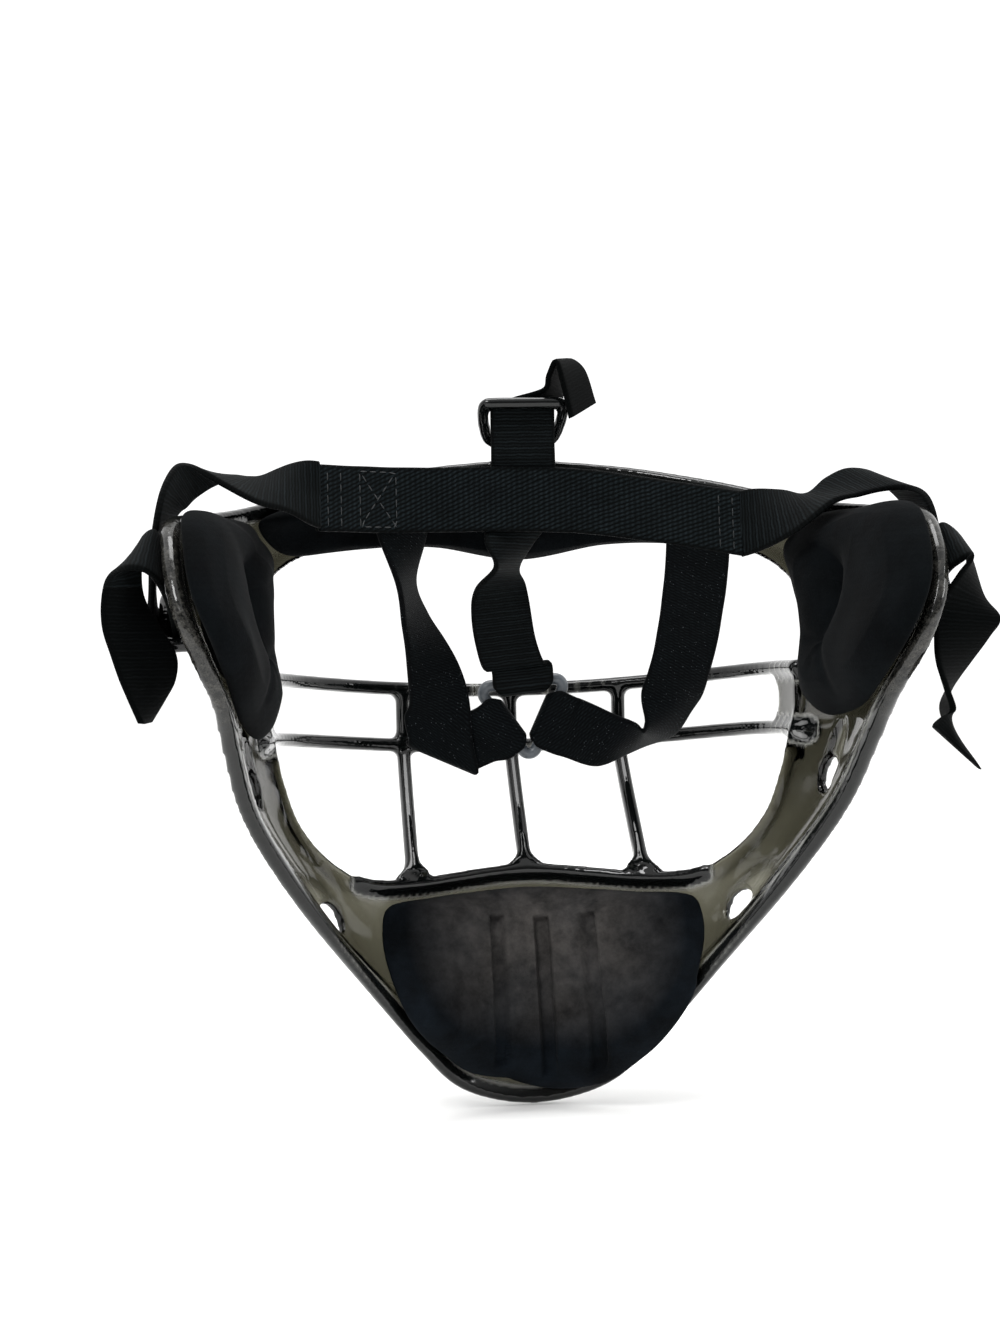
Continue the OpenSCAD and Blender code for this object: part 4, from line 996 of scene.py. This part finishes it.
def brushed_knit(name, dark, light, dust=None, dust_at=(0, 0, 0), dust_r=0.0):
    """Brushed nylon knit over foam: dark and matt, with a faint rib of loops and, where
    it is handled, dusty patches round the place dust_at."""
    material, tree = new_material(name)
    place = add(tree, "TexCoord").outputs["Object"]
    cloud = add(tree, "TexNoise", {"Vector": place, "Scale": PER_MM / 14, "Detail": 6.0, "Roughness": 0.62})
    spread = add(tree, "MapRange", {"Value": cloud, "From Min": 0.35, "From Max": 0.7})
    colour = add(tree, "Mix", {"Factor": spread, "A": srgb(dark), "B": srgb(light)}, data_type="RGBA")
    if dust:
        away = add(tree, "VectorMath", [place, dust_at], operation="DISTANCE")
        near = add(tree, "MapRange", {
            "Value": away, "From Min": dust_r * 0.25, "From Max": dust_r, "To Min": 1.0, "To Max": 0.0})
        patchy = add(tree, "TexNoise", {
            "Vector": place, "Scale": PER_MM / 7, "Detail": 8.0, "Roughness": 0.7})
        patchy = add(tree, "MapRange", {"Value": patchy, "From Min": 0.2, "From Max": 0.9})
        amount = add(tree, "Math", [near, patchy], operation="MULTIPLY")
        colour = add(tree, "Mix", {"Factor": amount, "A": colour, "B": srgb(dust)}, data_type="RGBA")
    # Loops of 0.35 mm, drawn at 0.9 mm so that they show in the render. Each is half a
    # wave, and the texture's wave turns 20 radians in a unit of its scale.
    loops = []
    for way in ("X", "Z"):
        wave = add(tree, "TexWave", {
            "Vector": place, "Scale": math.pi / 20 * PER_MM / 0.9, "Distortion": 1.2, "Detail": 1.0,
            "Detail Scale": 2.0}, bands_direction=way)
        loops.append(wave.outputs["Fac"])
    knit = add(tree, "Math", loops, operation="MULTIPLY")
    fuzz = add(tree, "TexNoise", {"Vector": place, "Scale": PER_MM / 0.6, "Detail": 2.0})
    nap = add(tree, "Math", [knit, 0.5, fuzz], operation="MULTIPLY_ADD")
    bump = add(tree, "Bump", {"Strength": 0.35, "Distance": 0.25 * MM, "Height": nap})
    cloth = add(tree, "BsdfPrincipled", {
        "Base Color": colour, "Roughness": 0.88, "Sheen Weight": 0.01, "Sheen Roughness": 0.5,
        "Specular IOR Level": 0.03, "Normal": bump})
    add(tree, "OutputMaterial", {"Surface": cloth})
    return material


def webbing_material(name, dark, light, pitch, angle, rib, depth, rough=0.62, speck=0.0):
    """Woven elastic webbing of black polyester: rows of yarn, a pitch apart and at an
    angle to its length, catch the light, broken by the ribs of its weft, with a plain
    dark selvedge. speck is how much lint shows. Sizes are in millimetres."""
    material, tree = new_material(name)
    cloth = add(tree, "UVMap", uv_map="cloth")
    split = add(tree, "SeparateXYZ", [cloth])
    turn = math.radians(angle)
    lean = add(tree, "VectorMath", [cloth, (-math.sin(turn), math.cos(turn), 0.0)], operation="DOT_PRODUCT")
    wobble = add(tree, "TexNoise", {"Vector": cloth, "Scale": 0.35, "Detail": 2.0})
    phase = add(tree, "Math", [wobble, pitch * 0.9, lean], operation="MULTIPLY_ADD")
    phase = add(tree, "Math", [phase, 2 * math.pi / pitch], operation="MULTIPLY")
    yarn = add(tree, "Math", [phase], operation="SINE")
    yarn = add(tree, "Math", [yarn, 0.5, 0.5], operation="MULTIPLY_ADD")
    weft = add(tree, "Math", [split.outputs["X"], 2 * math.pi / rib], operation="MULTIPLY")
    weft = add(tree, "Math", [weft], operation="SINE")
    weft = add(tree, "Math", [weft, 0.3, 0.7], operation="MULTIPLY_ADD")
    weave = add(tree, "Math", [yarn, weft], operation="MULTIPLY")
    edge = add(tree, "Math", [split.outputs["Y"]], operation="ABSOLUTE")
    plain = add(tree, "MapRange", {
        "Value": edge, "From Min": WEB_W / 2 - 1.3, "From Max": WEB_W / 2 - 0.7, "To Min": 1.0,
        "To Max": 0.25})
    patch = add(tree, "TexNoise", {"Vector": cloth, "Scale": 0.12, "Detail": 5.0, "Roughness": 0.65})
    patch = add(tree, "MapRange", {
        "Value": patch, "From Min": 0.3, "From Max": 0.7, "To Min": 0.45, "To Max": 1.0})
    shine = add(tree, "Math", [weave, plain], operation="MULTIPLY")
    shine = add(tree, "Math", [shine, patch], operation="MULTIPLY")
    colour = add(tree, "Mix", {"Factor": shine, "A": srgb(dark), "B": srgb(light)}, data_type="RGBA")
    if speck:
        dots = add(tree, "TexVoronoi", {"Vector": cloth, "Scale": 0.9})
        dots = add(tree, "MapRange", {
            "Value": dots, "From Min": 0.06, "From Max": 0.12, "To Min": speck, "To Max": 0.0})
        colour = add(tree, "Mix", {"Factor": dots, "A": colour, "B": srgb("#8a9096")}, data_type="RGBA")
    bump = add(tree, "Bump", {"Strength": 0.8, "Distance": depth * MM, "Height": weave})
    body = add(tree, "BsdfPrincipled", {
        "Base Color": colour, "Roughness": rough, "Sheen Weight": 0.01, "Sheen Roughness": 0.4,
        "Specular IOR Level": 0.03, "Normal": bump})
    add(tree, "OutputMaterial", {"Surface": body})
    return material


def two_tone(name, kind, pattern, dark, light, rough, looks=None, relief=None):
    """A plain material: one texture mixes two tones and a lowest and highest roughness,
    and pits the surface by a strength and a depth in millimetres."""
    material, tree = new_material(name)
    place = add(tree, "TexCoord").outputs["Object"]
    texture = add(tree, kind, {"Vector": place, **pattern})
    tone = add(tree, "Mix", {"Factor": texture, "A": srgb(dark), "B": srgb(light)}, data_type="RGBA")
    gloss = add(tree, "MapRange", {"Value": texture, "To Min": rough[0], "To Max": rough[1]})
    inputs = {"Base Color": tone, "Roughness": gloss, **(looks or {})}
    if relief:
        strength, deep = relief
        inputs["Normal"] = add(tree, "Bump", {"Strength": strength, "Distance": deep * MM, "Height": texture})
    body = add(tree, "BsdfPrincipled", inputs)
    add(tree, "OutputMaterial", {"Surface": body})
    return material


# The dust in the chin pad's middle, by the mouth, in metres
CHIN_DUST_AT, CHIN_DUST_R = (0.003, 0.062, -0.072), 0.042
SMOKE = smoke_polycarbonate()
KNIT = brushed_knit("brushed_knit", "#030405", "#080b0d")
CHIN_KNIT = brushed_knit("chin_knit", "#06080a", "#10151a", "#5b5754", CHIN_DUST_AT, CHIN_DUST_R)
TWILL = webbing_material("twill_webbing", "#020303", "#1b2225", 1.15, 24, 1.6, 0.12)
RIBBED = webbing_material("ribbed_webbing", "#030404", "#161b1d", 0.95, 90, 2.2, 0.08)
FINE = webbing_material("fine_webbing", "#020304", "#101517", 0.85, 60, 1.1, 0.07, speck=0.3)
TAIL = webbing_material("tail_webbing", "#010202", "#080a0b", 0.95, 90, 1.6, 0.07, rough=0.85)
# Hook-and-loop tape: a dead matt field of tiny hooks
HOOKS = two_tone("hook_tape", "TexVoronoi", {"Scale": PER_MM / 1.1}, "#191b1d", "#0b0c0d", (0.92, 0.92),
                 {"Specular IOR Level": 0.2}, (0.6, 0.3))
# Moulded acetal: grey, slightly milky, with a waxy gloss and fine scratches
ACETAL = two_tone("grey_acetal", "TexNoise", {"Scale": PER_MM / 4, "Detail": 5.0}, "#2c3034", "#5c6268",
                  (0.25, 0.5), {"Transmission Weight": 0.1, "IOR": 1.48}, (0.2, 0.2))
# Bonded polyester thread: black, with a little more shine than the webbing
THREAD = two_tone("sewing_thread", "TexNoise", {"Scale": PER_MM / 0.8, "Detail": 2.0},
                  "#0b0d0e", "#1d2225", (0.45, 0.45))


def finish_piece(obj, material, body=None, replaces=()):
    """Gives a piece its material and its body, and hides the nodes that it stands for."""
    obj.data.materials.clear()
    obj.data.materials.append(material)
    if replaces:
        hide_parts(*replaces)
    if body:
        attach(obj, body)
    return obj


# The pieces

finish_piece(make_guard(), SMOKE, "root", ["face_guard"])

for node, name, side, s_range, w_range, height, corner, keep, turns in PADS:
    shell = pad_shell(side, s_range, w_range, OVER_PATCH, height, corner, keep, turns, 64)
    material = CHIN_KNIT if node == "chin_pad" else KNIT
    finish_piece(mesh_of(name, *shell), material, "root", [node])

# Each patch: node, side, its first and last station and its low and high share across
PATCHES = [("brow_patch", 1, -2.4, 2.4, 0.25, 0.75),
           ("left_temple_patch", -1, 4.9, 7.7, 0.3, 0.7),
           ("right_temple_patch", 1, 4.9, 7.7, 0.3, 0.7),
           ("chin_patch", 1, LAST - 1.9, LAST + 1.9, 0.32, 0.73)]
for node, side, s0, s1, w0, w1 in PATCHES:
    edges = ((s0, s0), (s1, s1)), ([(-1, w0), (1, w0)], [(-1, w1), (1, w1)])
    patch = mesh_of(node + "_tape", *pad_shell(side, *edges, 0, flat_patch, 5.0, 0.0, 80, 20, 0.03))
    finish_piece(patch, HOOKS, "root", [node])

band = Ribbon(BAND_ROUTE)
finish_piece(strip("back_band_webbing", band), TWILL, "harness", ["back_band"])
for route, node in ((LEFT_DROP_ROUTE, "left_drop_strap"), (RIGHT_DROP_ROUTE, "right_drop_strap")):
    finish_piece(strip(node + "_webbing", Ribbon(route)), FINE, "harness", [node])

# Straps that run between the guard and the harness
BLENDS = {
    "left_side_strap": (LEFT_SIDE_ROUTE, (-0.1036, 0.009, 0.024), (-0.0602, 0.052, 0.0486)),
    "right_side_strap": (RIGHT_SIDE_ROUTE, (0.1038, 0.009, 0.024), (0.0602, 0.051, 0.0393)),
    "top_strap": (TOP_ROUTE, (0, 0.072, 0.069), (0, 0.099, 0.004))}
for node, (route, start, end) in BLENDS.items():
    piece = finish_piece(strip(node + "_webbing", Ribbon(route)), RIBBED, None, [node])
    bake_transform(piece)

# The side straps' ends lap behind the band's ends, on its face towards the guard. Two rows
# of stitches hold each lap, and a crossed box holds the left drop strap. Lengths are along
# the band and stitches stay clear of its edges.
LAP, LAP_INSET, LAP_NARROWER, LAP_GAP = 11.0, 0.3, 0.6, 0.05
SEAM_ROWS = (2.6, 7.0)
BOX_FROM, BOX_TO = 13.5, 25.5
SEAM_HALF = WEB_W / 2 - 1.6
band_end = band.along[-1]
guard_side = 1.0 if band.face[:, 1].mean() > 0 else -1.0
for node, start, end in (("left_side_strap", LAP_INSET, LAP),
                         ("right_side_strap", band_end - LAP, band_end - LAP_INSET)):
    lap = strip(node + "_lap", band, WEB_T * 0.9, guard_side * (WEB_T + LAP_GAP), LAP_NARROWER, start, end)
    finish_piece(lap, RIBBED, "harness")
box = [[BOX_FROM, -SEAM_HALF], [BOX_FROM, SEAM_HALF], [BOX_TO, SEAM_HALF], [BOX_TO, -SEAM_HALF]]
seams = [[[at, -SEAM_HALF], [at, SEAM_HALF]] for row in SEAM_ROWS for at in (row, band_end - row)]
seams += [box + [box[0], box[2]], [box[3], box[1]]]
stitches = stitch_rows("band_stitches", [sewn(band, seam, -guard_side) for seam in seams])
finish_piece(stitches, THREAD, "harness")

for ribbon, node, material, slot, body in (
        (Ribbon(LEFT_TAIL_ROUTE, 0, LEFT_TAB_FROM), "left_strap_tail", RIBBED, "webbing", "left_tail"),
        (Ribbon(LEFT_TAIL_ROUTE, LEFT_TAB_FROM, 1), "left_hook_tab", TAIL, "hook_tab", "left_tail"),
        (Ribbon(RIGHT_TAIL_ROUTE, 0, RIGHT_TAB_FROM), "right_strap_tail", RIBBED, "webbing", "right_tail"),
        (Ribbon(RIGHT_TAIL_ROUTE, RIGHT_TAB_FROM, 1), "right_hook_tab", TAIL, "hook_tab", "right_tail"),
        (Ribbon(TOP_TAIL_ROUTE), "top_strap_tail", TAIL, "webbing", "top_tail")):
    finish_piece(strip(node + "_webbing", ribbon), material, body, [node])

finish_piece(make_ring(), ACETAL, "harness", ["harness_ring"])

# The stage, the light and the camera

# Where the photograph was taken from, and how the camera was turned and rolled
CAMERA_AT = Vector((-64.6, -513.0, 0.0)) * MM
CAMERA_YAW = math.radians(5.5)
CAMERA_ROLL = math.radians(1.3)
FLOOR_RINGS, FLOOR_GAP = (1.0, 400.0, 3000.0, 12000.0), 0.6
LIGHT_AIM = Vector((0, 0.04, -0.02))


def make_camera():
    """The photograph's view: level, turned a little to the right and rolled a little."""
    data = bpy.data.cameras.new("camera")
    data.sensor_fit = "HORIZONTAL"
    data.sensor_width = 36.0
    data.lens = 72.0
    ahead = Vector((math.sin(CAMERA_YAW), math.cos(CAMERA_YAW), 0))
    right = Vector((math.cos(CAMERA_YAW), -math.sin(CAMERA_YAW), 0))
    up = Vector((0, 0, 1))
    c, s = math.cos(CAMERA_ROLL), math.sin(CAMERA_ROLL)
    x_axis = right * c - up * s
    y_axis = up * c + right * s
    turn = Matrix((x_axis, y_axis, -ahead)).transposed().to_4x4()
    camera = bpy.data.objects.new("camera", data)
    camera.matrix_world = Matrix.Translation(CAMERA_AT) @ turn
    bpy.context.scene.collection.objects.link(camera)
    bpy.context.scene.camera = camera


def make_floor():
    """A plain pale floor: rings of points round a wide disc just under the chin."""
    q = np.linspace(0, 2 * np.pi, 96, endpoint=False)
    level = cad_box[0].z / MM - FLOOR_GAP
    points = [(r * c, r * s, level) for r in FLOOR_RINGS for c, s in zip(np.cos(q), np.sin(q))]
    floor = mesh_of("floor", points, grid_faces(len(FLOOR_RINGS), len(q), False, True))
    floor.data.materials.append(two_tone("pale_floor", "TexNoise", {"Scale": 3.0, "Detail": 2.0},
                                         "#f9f9f8", "#fcfcfb", (0.9, 0.9)))


def area_light(name, at, size, watts):
    """A soft white panel aimed at the middle of the mask."""
    data = bpy.data.lights.new(name, "AREA")
    data.shape = "RECTANGLE"
    data.size, data.size_y = size
    data.energy = watts
    light = bpy.data.objects.new(name, data)
    light.location = at
    light.rotation_euler = (LIGHT_AIM - Vector(at)).to_track_quat("-Z", "Y").to_euler()
    bpy.context.scene.collection.objects.link(light)


def make_light():
    """A studio with a white wall behind the mask, a dim room behind the camera and three
    soft panels: its brightness grows with the direction's share of forwards and up."""
    world = bpy.data.worlds.new("studio")
    bpy.context.scene.world = world
    world.use_nodes = True
    tree = world.node_tree
    tree.nodes.clear()
    way = add(tree, "TexCoord").outputs["Generated"]
    ahead = add(tree, "VectorMath", [way, (0.0, 1.0, 0.8)], operation="DOT_PRODUCT")
    bright = add(tree, "MapRange", {
        "Value": ahead, "From Min": -0.6, "From Max": 0.1, "To Min": 0.15, "To Max": 1.2})
    sky = add(tree, "Background", {"Color": srgb("#fefefe"), "Strength": bright})
    add(tree, "OutputWorld", {"Surface": sky})
    area_light("key_panel", (-0.9, -1.3, 1.5), (0.7, 0.7), 26)
    area_light("side_panel", (1.6, -0.5, 0.7), (0.3, 0.9), 10)
    area_light("top_panel", (0.0, 0.3, 1.9), (1.2, 0.9), 24)
    bpy.context.scene.view_settings.view_transform = "Standard"


make_camera()
make_floor()
make_light()
